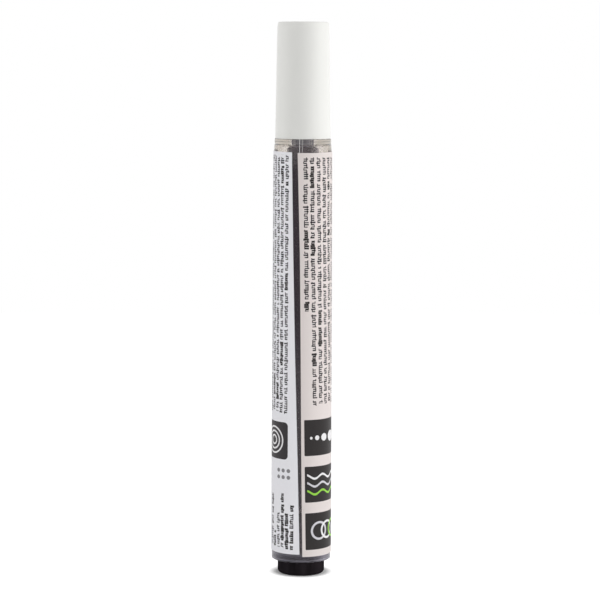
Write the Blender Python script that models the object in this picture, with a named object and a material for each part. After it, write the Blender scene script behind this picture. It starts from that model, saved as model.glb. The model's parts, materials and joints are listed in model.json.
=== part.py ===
"""Refillable watercolour marker, standing on its filler valve with the cap on.

Units are metres. +Z runs along the marker from the valve at the foot to the closed end of the cap,
-Y is the side with the ink window between the two labels, and the origin is the middle of the foot.
"""

import math

import bmesh
import bpy
from mathutils import Matrix, Vector

MM = 0.001

# Driving dimensions
TOTAL_LENGTH = 138.5 * MM
SEAT_GAP = 0.1 * MM
SEGMENTS = 36
SMALL_SEGMENTS = 24
CORNER_STEPS = 4
SMALL_CORNER_STEPS = 2
RING_STEPS = 8
SHARP_ANGLE = 35
MERGE_DISTANCE = 0.001 * MM
CARRIER_SIZE = 10 * MM

# Barrel, a clear tube with a rounded rear rim and a slightly turned-down front end
BARREL_REAR = 3.65 * MM
BARREL_FRONT = 108.3 * MM
BARREL_REAR_RADIUS = 7.5 * MM
BARREL_FRONT_RADIUS = 7.22 * MM
BARREL_RIM_RADIUS = 7.1 * MM
BARREL_RIM_LENGTH = 1.8 * MM
BARREL_BORE_RADIUS = 6.2 * MM
REAR_BORE_RADIUS = 6.0 * MM
REAR_BORE_LENGTH = 13.0 * MM
REAR_ROUND = 0.3 * MM

# Labels, two printed wraps whose near edges leave a leaning ink window
LABEL_GAP = 0.04 * MM
LABEL_THICKNESS = 0.08 * MM
LABEL_ROWS = 8
LABEL_COLUMNS = 18
BACK_WINDOW_ANGLE = 4.6
LEFT_LABEL_SPAN = (5.8 * MM, 106.65 * MM)
LEFT_LABEL_EDGE_ANGLES = (-2.0, -12.75, -20.9)
RIGHT_LABEL_SPAN = (5.2 * MM, 106.5 * MM)
RIGHT_LABEL_EDGE_ANGLES = (2.9, -1.45, -9.5)

# Front section, the clear plug that carries the nib and the cap
COLLAR_HEIGHT = 1.3 * MM
COLLAR_RADIUS = 7.06 * MM
COLLAR_ROUND = 0.2 * MM
COLLAR_GROOVE_DEPTH = 0.1 * MM
COLLAR_GROOVE_LEVEL = 0.67 * MM
CAP_SEAT_RADIUS = 5.75 * MM
CAP_SEAT_LENGTH = 7.1 * MM
SNAP_BEAD_HEIGHT = 0.17 * MM
SNAP_BEAD_HALF_WIDTH = 0.6 * MM
SNAP_BEAD_ABOVE_COLLAR = 4.9 * MM
NOSE_BASE_RADIUS = 4.9 * MM
NOSE_TIP_RADIUS = 3.4 * MM
NOSE_LENGTH = 8.5 * MM
NOSE_STEP = 1.2 * MM
NOSE_CURVE_STEPS = 6
PLUG_RADIUS = 6.08 * MM
PLUG_LENGTH = 5.0 * MM
PLUG_SKIRT_RADIUS = 5.5 * MM
PLUG_THROAT_RADIUS = 4.15 * MM
PLUG_CROWN_DEPTH = 0.5 * MM
FUNNEL_STEPS = 5
VENT_ANGLES = (30, 150)
VENT_DEPTH = 0.3 * MM

# Nib, a felt rod with a cone point
NIB_RADIUS = 2.4 * MM
NIB_BORE_GAP = 0.1 * MM
NIB_PROTRUSION = 4.7 * MM
NIB_COLLAR = 0.5 * MM
NIB_TIP_RADIUS = 0.45 * MM
NIB_DEPTH_IN_RESERVOIR = 11.0 * MM

# Ink reservoir and its film wrap
RESERVOIR_REAR = 17.2 * MM
RESERVOIR_RADIUS = 5.78 * MM
RESERVOIR_NECK_GAP = 0.15 * MM
RESERVOIR_CROWN_CHAMFER = 0.3 * MM
WRAP_RADIUS = 5.98 * MM
WRAP_THICKNESS = 0.12 * MM
WRAP_INSET = 0.3 * MM

# Filler valve, from the foot up
FOOT_RADIUS = 5.9 * MM
FOOT_ROUND = 0.7 * MM
MOUTH_RADIUS = 3.1 * MM
MOUTH_CHAMFER = 0.4 * MM
MOUTH_DEPTH = 6.4 * MM
THROAT_RADIUS = 1.7 * MM
THROAT_LENGTH = 1.0 * MM
CONE_RADIUS = 2.6 * MM
CONE_HEIGHT = 0.7 * MM
CHAMBER_RADIUS = 4.3 * MM
VALVE_LENGTH = 16.0 * MM
GROOVE_RADIUS = 5.6 * MM
GROOVE_WIDTH = 0.9 * MM
GROOVE_CENTRES = (8.0 * MM, 10.6 * MM, 13.2 * MM)
SHANK_CHAMFER = 0.4 * MM

# Valve stem, its seal ring, spring and cage
STEM_TIP = 4.9 * MM
PIN_RADIUS = 1.05 * MM
PIN_ROUND = 0.5 * MM
SEAL_MEAN_RADIUS = 2.35 * MM
SEAL_WIRE_RADIUS = 0.48 * MM
NECK_RADIUS = 1.7 * MM
HEAD_RADIUS = 3.3 * MM
HEAD_HEIGHT = 0.9 * MM
POST_RADIUS = 1.2 * MM
POST_TOP = 15.3 * MM
CAGE_HEIGHT = 1.2 * MM
CAGE_HOLE_RADIUS = 1.4 * MM
CAGE_HUB_RADIUS = 2.7 * MM
CAGE_RING_RADIUS = 3.5 * MM
CAGE_SPOKES = 4
SPRING_RADIUS = 2.2 * MM
SPRING_WIRE_RADIUS = 0.18 * MM
SPRING_COILS = 5
SPRING_POINTS_PER_COIL = 10
LEAST_COIL_GAP = 0.4 * MM

# Cap shell and the inner cap that seals the nib
CAP_RIM_RADIUS = 6.9 * MM
CAP_SHOULDER_RADIUS = 6.49 * MM
CAP_SHOULDER_CURVE = 15.0 * MM
CAP_SHOULDER_ANGLE = 8.4
CAP_END_ROUND = 0.4 * MM
CAP_END_THICKNESS = 1.5 * MM
CAP_MOUTH_RADIUS = 6.02 * MM
CAP_MOUTH_LENGTH = 7.8 * MM
CAP_MOUTH_CHAMFER = 0.25 * MM
CAP_GROOVE_DEPTH = 0.13 * MM
CAP_BORE_RADIUS = 5.45 * MM
CAP_RIB_COUNT = 6
CAP_RIB_RADIUS = 5.1 * MM
CAP_RIB_STOP = 0.4 * MM
INNER_CAP_RADIUS = 5.0 * MM
INNER_CAP_BORE_RADIUS = 4.35 * MM
INNER_CAP_END_THICKNESS = 0.8 * MM
INNER_CAP_RIM_ABOVE_CAP = 10.5 * MM

# Levels worked out from those
COLLAR_BOTTOM = BARREL_FRONT + SEAT_GAP
COLLAR_TOP = COLLAR_BOTTOM + COLLAR_HEIGHT
CAP_RIM = COLLAR_TOP + SEAT_GAP
NOSE_BASE = COLLAR_TOP + CAP_SEAT_LENGTH + NOSE_STEP
NOSE_TIP = NOSE_BASE + NOSE_LENGTH
NIB_TIP = NOSE_TIP + NIB_PROTRUSION
NIB_BORE_RADIUS = NIB_RADIUS + NIB_BORE_GAP
PLUG_CROWN = COLLAR_BOTTOM - PLUG_CROWN_DEPTH
PLUG_REAR = COLLAR_BOTTOM - PLUG_LENGTH
RESERVOIR_NECK = PLUG_REAR - 2 * RESERVOIR_NECK_GAP
NIB_REAR = PLUG_CROWN - NIB_DEPTH_IN_RESERVOIR
CHAMBER_FLOOR = MOUTH_DEPTH + THROAT_LENGTH + CONE_HEIGHT
SEAL_LEVEL = CHAMBER_FLOOR + SEAT_GAP + SEAL_WIRE_RADIUS
HEAD_BOTTOM = SEAL_LEVEL + SEAL_WIRE_RADIUS + SEAT_GAP
HEAD_TOP = HEAD_BOTTOM + HEAD_HEIGHT
CAGE_BOTTOM = VALVE_LENGTH - CAGE_HEIGHT
INNER_CAP_RIM = CAP_RIM + INNER_CAP_RIM_ABOVE_CAP
INNER_CAP_END = TOTAL_LENGTH - CAP_END_THICKNESS - SEAT_GAP


def clear_scene():
    for item in list(bpy.data.objects):
        bpy.data.objects.remove(item, do_unlink=True)


def finish(name, colour, roughness, metallic=0.0, alpha=1.0):
    """A Principled material for one piece."""
    material = bpy.data.materials.new(name)
    material.use_nodes = True
    shader = material.node_tree.nodes["Principled BSDF"]
    shader.inputs["Base Color"].default_value = (*colour, 1.0)
    shader.inputs["Roughness"].default_value = roughness
    shader.inputs["Metallic"].default_value = metallic
    shader.inputs["Alpha"].default_value = alpha
    material.diffuse_color = (*colour, alpha)
    return material


def slide(name, height):
    """An empty on the marker's axis that carries the pieces of one sliding body."""
    carrier = bpy.data.objects.new(name, None)
    carrier.empty_display_size = CARRIER_SIZE
    carrier.location.z = height
    bpy.context.collection.objects.link(carrier)
    return carrier


def placed(name, data, material, level, carrier=None):
    """Link one piece, with its own datum at the given level on the axis."""
    data.materials.append(material)
    piece = bpy.data.objects.new(name, data)
    bpy.context.collection.objects.link(piece)
    piece.location.z = level
    if carrier is not None:
        piece.parent = carrier
        piece.location.z -= carrier.location.z
    return piece


def solid(name, shape, material, level, carrier=None):
    """Turn a bmesh, modelled from its own datum, into a smooth-shaded piece."""
    bmesh.ops.recalc_face_normals(shape, faces=shape.faces)
    data = bpy.data.meshes.new(name)
    shape.to_mesh(data)
    shape.free()
    data.shade_smooth()
    data.set_sharp_from_angle(angle=math.radians(SHARP_ANGLE))
    return placed(name, data, material, level, carrier)


def turned(outline, level, segments=SEGMENTS):
    """Spin a closed outline of (radius, world height) round the axis, measured from a datum level.

    An outline that begins on the axis also ends on it; any other is joined back to its start.
    """
    shape = bmesh.new()
    points = [shape.verts.new((radius, 0, height - level)) for radius, height in outline]
    ring = points if outline[0][0] == 0 else points + points[:1]
    edges = [shape.edges.new(pair) for pair in zip(ring, ring[1:])]
    bmesh.ops.spin(
        shape, geom=points + edges, axis=(0, 0, 1), angle=math.tau, steps=segments, use_merge=True
    )
    bmesh.ops.remove_doubles(shape, verts=shape.verts, dist=MERGE_DISTANCE)
    return shape


def arc(radius, height, size, start, end, steps=CORNER_STEPS):
    """Outline points along an arc about (radius, height), with angles in degrees from outwards to up."""
    angles = [math.radians(start + (end - start) * step / steps) for step in range(steps + 1)]
    return [(radius + size * math.cos(a), height + size * math.sin(a)) for a in angles]


def nose_curve():
    """The concave flank of the nose, from its tip down to its base."""
    shares = [step / NOSE_CURVE_STEPS for step in range(NOSE_CURVE_STEPS + 1)]
    spread = NOSE_BASE_RADIUS - NOSE_TIP_RADIUS
    return [(NOSE_TIP_RADIUS + spread * s * s, NOSE_TIP - NOSE_LENGTH * s) for s in shares]


def funnel_curve(gap, top):
    """The plug's funnel from its rear edge up to its throat, drawn in by a gap, ending at a top level."""
    shares = [step / FUNNEL_STEPS for step in range(FUNNEL_STEPS + 1)]
    spread = PLUG_SKIRT_RADIUS - PLUG_THROAT_RADIUS
    rise = top - PLUG_REAR
    return [(PLUG_THROAT_RADIUS + spread * (1 - s) ** 2 - gap, PLUG_REAR + rise * s) for s in shares]


def push_faces(shape, band, count, distance, segments=SEGMENTS):
    """Push evenly spaced wall faces of a turned shape along the radius, to raise ribs.

    band is (least radius, greatest radius, least height, greatest height) of the face middles.
    """
    low_radius, high_radius, low, high = band
    chosen = []
    for face in shape.faces:
        middle = face.calc_center_median()
        radius = middle.xy.length
        place = math.floor(math.atan2(middle.y, middle.x) % math.tau / math.tau * segments)
        in_band = low_radius < radius < high_radius and low < middle.z < high
        if in_band and place % (segments // count) == 0:
            chosen.append(face)
    grown = bmesh.ops.extrude_face_region(shape, geom=chosen)["geom"]
    bmesh.ops.delete(shape, geom=chosen, context="FACES_ONLY")
    for corner in grown:
        if isinstance(corner, bmesh.types.BMVert):
            reach = corner.co.xy.length
            corner.co.xy *= (reach + distance) / reach


def flute(shape, radius, angles, depth, segments=SEGMENTS):
    """Push columns of a turned bore's points outwards at some angles, to groove its whole length."""
    columns = {round(angle / 360 * segments) for angle in angles}
    for corner in shape.verts:
        reach = corner.co.xy.length
        column = round(math.atan2(corner.co.y, corner.co.x) % math.tau / math.tau * segments) % segments
        if abs(reach - radius) < depth / 2 and column in columns:
            corner.co.xy *= (reach + depth) / reach


def barrel_radius(height):
    """Outer radius of the barrel under the labels, which tapers towards the cap."""
    start = BARREL_REAR + REAR_ROUND
    share = (height - start) / (BARREL_FRONT - BARREL_RIM_LENGTH - start)
    return BARREL_REAR_RADIUS + (BARREL_FRONT_RADIUS - BARREL_REAR_RADIUS) * share


def barrel():
    clear = finish("clear_barrel", (0.80, 0.79, 0.77), 0.08, alpha=0.25)
    step = BARREL_REAR + REAR_BORE_LENGTH
    outline = [(REAR_BORE_RADIUS, BARREL_REAR)]
    outline += arc(BARREL_REAR_RADIUS - REAR_ROUND, BARREL_REAR + REAR_ROUND, REAR_ROUND, -90, 0)
    outline += [
        (BARREL_FRONT_RADIUS, BARREL_FRONT - BARREL_RIM_LENGTH),
        (BARREL_RIM_RADIUS, BARREL_FRONT - SEAT_GAP),
        (BARREL_RIM_RADIUS - SEAT_GAP, BARREL_FRONT),
        (BARREL_BORE_RADIUS, BARREL_FRONT),
        (BARREL_BORE_RADIUS, step + BARREL_BORE_RADIUS - REAR_BORE_RADIUS),
        (REAR_BORE_RADIUS, step),
    ]
    return solid("barrel", turned(outline, BARREL_REAR), clear, BARREL_REAR)


def label(name, material, span, edge_angles, far_angle):
    """One printed wrap: near edge through three angles from -Y towards +X, far edge upright."""
    bottom, top = span
    low, middle, high = edge_angles
    bow = 4 * (middle - (low + high) / 2)
    sheet = bmesh.new()
    rows = []
    for row in range(LABEL_ROWS + 1):
        rise = row / LABEL_ROWS
        height = bottom + (top - bottom) * rise
        near = low + (high - low) * rise + bow * rise * (1 - rise)
        radius = barrel_radius(height) + LABEL_GAP
        angles = [near + (far_angle - near) * c / LABEL_COLUMNS for c in range(LABEL_COLUMNS + 1)]
        turns = [math.radians(angle) for angle in angles]
        rows.append(
            [sheet.verts.new((radius * math.sin(t), -radius * math.cos(t), height - bottom)) for t in turns]
        )
    for lower, upper in zip(rows, rows[1:]):
        for a, b, c, d in zip(lower, lower[1:], upper[1:], upper):
            sheet.faces.new((a, b, c, d))
    bmesh.ops.recalc_face_normals(sheet, faces=sheet.faces)
    first = next(iter(sheet.faces))
    if first.normal.xy.dot(first.calc_center_median().xy) < 0:
        bmesh.ops.reverse_faces(sheet, faces=sheet.faces)
    data = bpy.data.meshes.new(name)
    sheet.to_mesh(data)
    sheet.free()
    data.shade_smooth()
    wrap = placed(name, data, material, bottom)
    thicken = wrap.modifiers.new("thickness", "SOLIDIFY")
    thicken.thickness = LABEL_THICKNESS
    thicken.offset = 1
    return wrap


def labels():
    left = finish("left_label", (0.69, 0.68, 0.72), 0.5)
    right = finish("right_label", (0.72, 0.66, 0.64), 0.5)
    half_turn = 180 - BACK_WINDOW_ANGLE
    label("left_label", left, LEFT_LABEL_SPAN, LEFT_LABEL_EDGE_ANGLES, -half_turn)
    label("right_label", right, RIGHT_LABEL_SPAN, RIGHT_LABEL_EDGE_ANGLES, half_turn)


def front_section():
    """Collar, cap seat with its snap bead, hollow nose, and the plug that closes the barrel."""
    clear = finish("clear_front", (0.80, 0.78, 0.73), 0.08, alpha=0.3)
    bead = COLLAR_TOP + SNAP_BEAD_ABOVE_COLLAR
    groove = COLLAR_BOTTOM + COLLAR_GROOVE_LEVEL
    seat_top = COLLAR_TOP + CAP_SEAT_LENGTH
    outline = nose_curve()
    outline += [
        (CAP_SEAT_RADIUS, seat_top),
        (CAP_SEAT_RADIUS, bead + SNAP_BEAD_HALF_WIDTH),
        (CAP_SEAT_RADIUS + SNAP_BEAD_HEIGHT, bead),
        (CAP_SEAT_RADIUS, bead - SNAP_BEAD_HALF_WIDTH),
        (CAP_SEAT_RADIUS, COLLAR_TOP),
    ]
    edge = COLLAR_RADIUS - COLLAR_ROUND
    outline += arc(edge, COLLAR_TOP - COLLAR_ROUND, COLLAR_ROUND, 90, 0, SMALL_CORNER_STEPS)
    outline += [
        (COLLAR_RADIUS, groove + COLLAR_GROOVE_DEPTH),
        (COLLAR_RADIUS - COLLAR_GROOVE_DEPTH, groove),
        (COLLAR_RADIUS, groove - COLLAR_GROOVE_DEPTH),
    ]
    outline += arc(edge, COLLAR_BOTTOM + COLLAR_ROUND, COLLAR_ROUND, 0, -90, SMALL_CORNER_STEPS)
    outline += [
        (PLUG_RADIUS, COLLAR_BOTTOM),
        (PLUG_RADIUS, PLUG_REAR + COLLAR_ROUND),
        (PLUG_RADIUS - COLLAR_ROUND, PLUG_REAR),
    ]
    outline += funnel_curve(0, PLUG_CROWN)
    outline += [(NIB_BORE_RADIUS, PLUG_CROWN), (NIB_BORE_RADIUS, NOSE_TIP)]
    shape = turned(outline, COLLAR_BOTTOM)
    flute(shape, NIB_BORE_RADIUS, VENT_ANGLES, VENT_DEPTH)
    return solid("front_section", shape, clear, COLLAR_BOTTOM)


def nib():
    felt = finish("nib_felt", (0.10, 0.09, 0.10), 0.9)
    shoulder = NOSE_TIP + NIB_COLLAR
    outline = [
        (0, NIB_REAR),
        (NIB_RADIUS - NIB_COLLAR, NIB_REAR),
        (NIB_RADIUS, NIB_REAR + NIB_COLLAR),
        (NIB_RADIUS, shoulder),
    ]
    outline += arc(0, NIB_TIP - NIB_TIP_RADIUS, NIB_TIP_RADIUS, 30, 90)[:-1]
    outline += [(0, NIB_TIP)]
    return solid("nib", turned(outline, NIB_REAR, SMALL_SEGMENTS), felt, NIB_REAR)


def ink_reservoir():
    """A fibre rod whose neck fills the plug's funnel, with the socket that the nib is pressed into."""
    fibre = finish("reservoir_fibre", (0.035, 0.03, 0.035), 0.9)
    neck_radius = PLUG_SKIRT_RADIUS - RESERVOIR_NECK_GAP
    crown = PLUG_CROWN - RESERVOIR_NECK_GAP
    crown_radius = PLUG_THROAT_RADIUS - RESERVOIR_NECK_GAP - RESERVOIR_CROWN_CHAMFER
    outline = [
        (0, RESERVOIR_REAR),
        (RESERVOIR_RADIUS, RESERVOIR_REAR),
        (RESERVOIR_RADIUS, RESERVOIR_NECK - RESERVOIR_RADIUS + neck_radius),
        (neck_radius, RESERVOIR_NECK),
    ]
    outline += funnel_curve(RESERVOIR_NECK_GAP, crown - RESERVOIR_CROWN_CHAMFER)
    outline += [
        (crown_radius, crown),
        (NIB_BORE_RADIUS, crown),
        (NIB_BORE_RADIUS, NIB_REAR - NIB_BORE_GAP),
        (0, NIB_REAR - NIB_BORE_GAP),
    ]
    return solid("ink_reservoir", turned(outline, RESERVOIR_REAR), fibre, RESERVOIR_REAR)


def reservoir_wrap():
    film = finish("reservoir_film", (0.07, 0.06, 0.07), 0.35)
    rear = RESERVOIR_REAR + WRAP_INSET
    front = RESERVOIR_NECK - 2 * WRAP_INSET
    inner = WRAP_RADIUS - WRAP_THICKNESS
    outline = [(inner, rear), (WRAP_RADIUS, rear), (WRAP_RADIUS, front), (inner, front)]
    return solid("reservoir_wrap", turned(outline, rear), film, rear)


def valve_body():
    """Black foot with the dropper mouth, throat, seal seat and spring chamber, on a grooved shank."""
    black = finish("valve_black", (0.010, 0.008, 0.010), 0.25)
    outline = [(MOUTH_RADIUS + MOUTH_CHAMFER, 0)]
    outline += arc(FOOT_RADIUS - FOOT_ROUND, FOOT_ROUND, FOOT_ROUND, -90, 0)
    for centre in GROOVE_CENTRES:
        low, high = centre - GROOVE_WIDTH / 2, centre + GROOVE_WIDTH / 2
        outline += [(FOOT_RADIUS, low), (GROOVE_RADIUS, low), (GROOVE_RADIUS, high), (FOOT_RADIUS, high)]
    outline += [
        (FOOT_RADIUS, VALVE_LENGTH - SHANK_CHAMFER),
        (FOOT_RADIUS - SHANK_CHAMFER, VALVE_LENGTH),
        (CHAMBER_RADIUS, VALVE_LENGTH),
        (CHAMBER_RADIUS, CHAMBER_FLOOR),
        (CONE_RADIUS, CHAMBER_FLOOR),
        (THROAT_RADIUS, MOUTH_DEPTH + THROAT_LENGTH),
        (THROAT_RADIUS, MOUTH_DEPTH),
        (MOUTH_RADIUS, MOUTH_DEPTH),
        (MOUTH_RADIUS, MOUTH_CHAMFER),
    ]
    return solid("valve_body", turned(outline, 0), black, 0)


def valve_stem(carrier):
    """Pin that the dropper pushes, seal neck, head that the spring bears on, and guide post."""
    grey = finish("stem_grey", (0.35, 0.35, 0.36), 0.4)
    outline = [(0, STEM_TIP)]
    outline += arc(PIN_RADIUS - PIN_ROUND, STEM_TIP + PIN_ROUND, PIN_ROUND, -90, 0)
    outline += [
        (PIN_RADIUS, CHAMBER_FLOOR - CONE_HEIGHT),
        (NECK_RADIUS, CHAMBER_FLOOR),
        (NECK_RADIUS, HEAD_BOTTOM),
        (HEAD_RADIUS, HEAD_BOTTOM),
        (HEAD_RADIUS, HEAD_TOP),
        (POST_RADIUS, HEAD_TOP),
        (POST_RADIUS, POST_TOP - PIN_ROUND),
        (POST_RADIUS - PIN_ROUND, POST_TOP),
        (0, POST_TOP),
    ]
    return solid("valve_stem", turned(outline, STEM_TIP, SMALL_SEGMENTS), grey, STEM_TIP, carrier)


def valve_seal(carrier):
    rubber = finish("seal_rubber", (0.02, 0.02, 0.02), 0.7)
    ring = arc(SEAL_MEAN_RADIUS, SEAL_LEVEL, SEAL_WIRE_RADIUS, 0, 360, RING_STEPS)[:-1]
    return solid("valve_seal", turned(ring, SEAL_LEVEL, SMALL_SEGMENTS), rubber, SEAL_LEVEL, carrier)


def valve_spring():
    """Compression spring between the stem's head and the cage, as one unbroken helix."""
    steel = finish("spring_steel", (0.55, 0.55, 0.56), 0.25, metallic=1.0)
    clearance = SPRING_WIRE_RADIUS + SEAT_GAP
    rise = CAGE_BOTTOM - HEAD_TOP - 2 * clearance
    count = SPRING_COILS * SPRING_POINTS_PER_COIL
    points = []
    for step in range(count + 1):
        turn = math.tau * step / SPRING_POINTS_PER_COIL
        height = clearance + rise * step / count
        points.append(Vector((SPRING_RADIUS * math.cos(turn), SPRING_RADIUS * math.sin(turn), height)))
    apart = SPRING_POINTS_PER_COIL // 2
    pairs = ((a, b) for i, a in enumerate(points) for b in points[i + apart:])
    gap = min((a - b).length for a, b in pairs) - 2 * SPRING_WIRE_RADIUS
    print(f"valve_spring: least gap between coils {gap / MM:.2f} mm")
    assert gap > LEAST_COIL_GAP, "the spring's coils are too close"
    wire = bpy.data.curves.new("valve_spring", "CURVE")
    wire.dimensions = "3D"
    wire.bevel_depth = SPRING_WIRE_RADIUS
    wire.bevel_resolution = 1
    wire.use_fill_caps = True
    path = wire.splines.new("POLY")
    path.points.add(count)
    for knot, point in zip(path.points, points):
        knot.co = (*point, 1.0)
    path.use_smooth = True
    return placed("valve_spring", wire, steel, HEAD_TOP)


def valve_cage():
    """Spoked disc that holds the spring in the chamber and lets the ink through to the reservoir."""
    natural = finish("cage_natural", (0.70, 0.68, 0.64), 0.5)
    radii = (CAGE_HOLE_RADIUS, CAGE_HUB_RADIUS, CAGE_RING_RADIUS, CHAMBER_RADIUS - SEAT_GAP)
    shape = bmesh.new()
    rings = []
    for radius in radii:
        arms = [Matrix.Rotation(math.tau * s / SMALL_SEGMENTS, 3, "Z") for s in range(SMALL_SEGMENTS)]
        rings.append([shape.verts.new(arm @ Vector((radius, 0, 0))) for arm in arms])
    for inner, outer in zip(rings, rings[1:]):
        has_windows = inner is rings[1]
        for s in range(SMALL_SEGMENTS):
            after = (s + 1) % SMALL_SEGMENTS
            if not has_windows or s % (SMALL_SEGMENTS // CAGE_SPOKES) == 0:
                shape.faces.new((inner[s], outer[s], outer[after], inner[after]))
    grown = bmesh.ops.extrude_face_region(shape, geom=shape.faces[:])["geom"]
    top = [corner for corner in grown if isinstance(corner, bmesh.types.BMVert)]
    bmesh.ops.translate(shape, verts=top, vec=(0, 0, CAGE_HEIGHT))
    return solid("valve_cage", shape, natural, CAGE_BOTTOM)


def cap_shell(carrier):
    """Tapered cap with a snap groove at its mouth and ribs that grip the inner cap."""
    white = finish("cap_white", (0.80, 0.79, 0.78), 0.4)
    groove = CAP_RIM + SNAP_BEAD_ABOVE_COLLAR
    floor = TOTAL_LENGTH - CAP_END_THICKNESS
    mouth_end = CAP_RIM + CAP_MOUTH_LENGTH
    bore_start = mouth_end + CAP_MOUTH_RADIUS - CAP_BORE_RADIUS
    reach = CAP_SHOULDER_CURVE - CAP_END_ROUND
    turn = math.radians(CAP_SHOULDER_ANGLE)
    shoulder = TOTAL_LENGTH - CAP_END_ROUND - reach * math.sin(turn)
    centre = CAP_SHOULDER_RADIUS - CAP_SHOULDER_CURVE
    corner = centre + reach * math.cos(turn)
    outline = [(0, TOTAL_LENGTH)]
    outline += arc(corner, TOTAL_LENGTH - CAP_END_ROUND, CAP_END_ROUND, 90, CAP_SHOULDER_ANGLE)
    outline += arc(centre, shoulder, CAP_SHOULDER_CURVE, CAP_SHOULDER_ANGLE, 0)[1:]
    outline += [
        (CAP_RIM_RADIUS, CAP_RIM + CAP_MOUTH_CHAMFER),
        (CAP_RIM_RADIUS - CAP_MOUTH_CHAMFER / 2, CAP_RIM),
        (CAP_MOUTH_RADIUS + CAP_MOUTH_CHAMFER, CAP_RIM),
        (CAP_MOUTH_RADIUS, CAP_RIM + CAP_MOUTH_CHAMFER),
        (CAP_MOUTH_RADIUS, groove - SNAP_BEAD_HALF_WIDTH),
        (CAP_MOUTH_RADIUS + CAP_GROOVE_DEPTH, groove),
        (CAP_MOUTH_RADIUS, groove + SNAP_BEAD_HALF_WIDTH),
        (CAP_MOUTH_RADIUS, mouth_end),
        (CAP_BORE_RADIUS, bore_start),
        (CAP_BORE_RADIUS, INNER_CAP_RIM),
        (CAP_BORE_RADIUS, floor - CAP_RIB_STOP),
        (CAP_BORE_RADIUS, floor),
        (0, floor),
    ]
    shape = turned(outline, CAP_RIM)
    wall = (CAP_RIB_RADIUS, CAP_MOUTH_RADIUS, INNER_CAP_RIM - CAP_RIM, floor - CAP_RIB_STOP - CAP_RIM)
    push_faces(shape, wall, CAP_RIB_COUNT, CAP_RIB_RADIUS - CAP_BORE_RADIUS)
    return solid("cap_shell", shape, white, CAP_RIM, carrier)


def inner_cap(carrier):
    """Thimble inside the cap whose rim closes on the nose, so that the nib stays wet."""
    natural = finish("inner_cap_natural", (0.78, 0.77, 0.74), 0.5)
    floor = INNER_CAP_END - INNER_CAP_END_THICKNESS
    lip = (INNER_CAP_RADIUS - INNER_CAP_BORE_RADIUS) / 2
    outline = [
        (0, INNER_CAP_END),
        (INNER_CAP_RADIUS - lip, INNER_CAP_END),
        (INNER_CAP_RADIUS, INNER_CAP_END - lip),
        (INNER_CAP_RADIUS, INNER_CAP_RIM + lip),
        (INNER_CAP_RADIUS - lip, INNER_CAP_RIM),
        (INNER_CAP_BORE_RADIUS, INNER_CAP_RIM),
        (INNER_CAP_BORE_RADIUS, floor),
        (0, floor),
    ]
    return solid("inner_cap", turned(outline, INNER_CAP_RIM), natural, INNER_CAP_RIM, carrier)


def main():
    clear_scene()
    barrel()
    labels()
    front_section()
    nib()
    ink_reservoir()
    reservoir_wrap()
    valve_body()
    valve_spring()
    valve_cage()
    push = slide("valve_push", STEM_TIP)
    valve_stem(push)
    valve_seal(push)
    pull = slide("cap_pull", CAP_RIM)
    cap_shell(pull)
    inner_cap(pull)


main()
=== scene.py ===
"""Looks of a refillable watercolour marker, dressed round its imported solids.

The marker stands on its filler valve. Heights run along +Z from the foot to the cap's end, and the ink
window between the two labels faces -Y. Lengths are in metres, written as millimetres times MM.
"""

import json
import logging
import math
from collections.abc import Callable, Sequence
from dataclasses import dataclass, field
from enum import Enum

import bmesh
import bpy
from mathutils import Matrix, Vector


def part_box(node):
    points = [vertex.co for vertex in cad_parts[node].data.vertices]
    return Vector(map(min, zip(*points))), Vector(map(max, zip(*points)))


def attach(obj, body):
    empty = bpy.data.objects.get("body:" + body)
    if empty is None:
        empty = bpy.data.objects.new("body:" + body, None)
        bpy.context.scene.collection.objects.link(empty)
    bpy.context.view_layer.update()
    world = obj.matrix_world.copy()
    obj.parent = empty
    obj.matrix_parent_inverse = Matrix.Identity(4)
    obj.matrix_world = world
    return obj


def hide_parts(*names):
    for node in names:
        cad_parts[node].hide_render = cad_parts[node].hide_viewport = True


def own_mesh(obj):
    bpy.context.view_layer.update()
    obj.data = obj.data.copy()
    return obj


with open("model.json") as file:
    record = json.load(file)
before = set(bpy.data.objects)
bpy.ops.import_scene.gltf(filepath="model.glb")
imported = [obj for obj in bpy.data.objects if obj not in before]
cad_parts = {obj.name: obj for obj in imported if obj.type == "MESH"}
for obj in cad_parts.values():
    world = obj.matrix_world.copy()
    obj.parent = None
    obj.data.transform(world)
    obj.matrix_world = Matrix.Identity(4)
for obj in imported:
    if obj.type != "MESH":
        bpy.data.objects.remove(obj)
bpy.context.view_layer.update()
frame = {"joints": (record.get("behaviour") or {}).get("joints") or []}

LOG = logging.getLogger("marker")

Colour = tuple[float, float, float]
Curve = tuple[tuple[float, float], ...]
Piece = bpy.types.Object
Material = bpy.types.Material
Socket = bpy.types.NodeSocket
Value = Socket | float

MM = 0.001
FINE_STEPS = 144
SMALL_STEPS = 72
SMOOTH_ANGLE = math.radians(40)
TOUCH = 0.001 * MM
DUST_SPACING = 3.2 * MM
DUST_COLOUR: Colour = (0.42, 0.40, 0.36)


class Body(Enum):
    """The marker's rigid bodies, by their names in the frame."""

    MARKER = "marker_body"
    CAP = "cap"
    VALVE = "valve_core"


class Ends(Enum):
    """How a turned outline is closed."""

    JOINED = "last ring bridged back to the first"
    CAPPED = "first and last rings filled"


class Pick(Enum):
    """What a selection in edit mode is made of."""

    POINTS = "VERT"
    EDGES = "EDGE"
    FACES = "FACE"


@dataclass(frozen=True)
class Station:
    """One ring of a turned outline.

    Attributes:
        radius: Distance from the marker's axis.
        height: Level above the foot.
        rounding: How far the corner here is bevelled.
    """

    radius: float
    height: float
    rounding: float = 0.0

    def meets(self, point: Vector) -> bool:
        """Tell whether a point lies on this ring."""
        off_radius = abs(point.xy.length - self.radius)
        return off_radius < TOUCH and abs(point.z - self.height) < TOUCH


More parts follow.
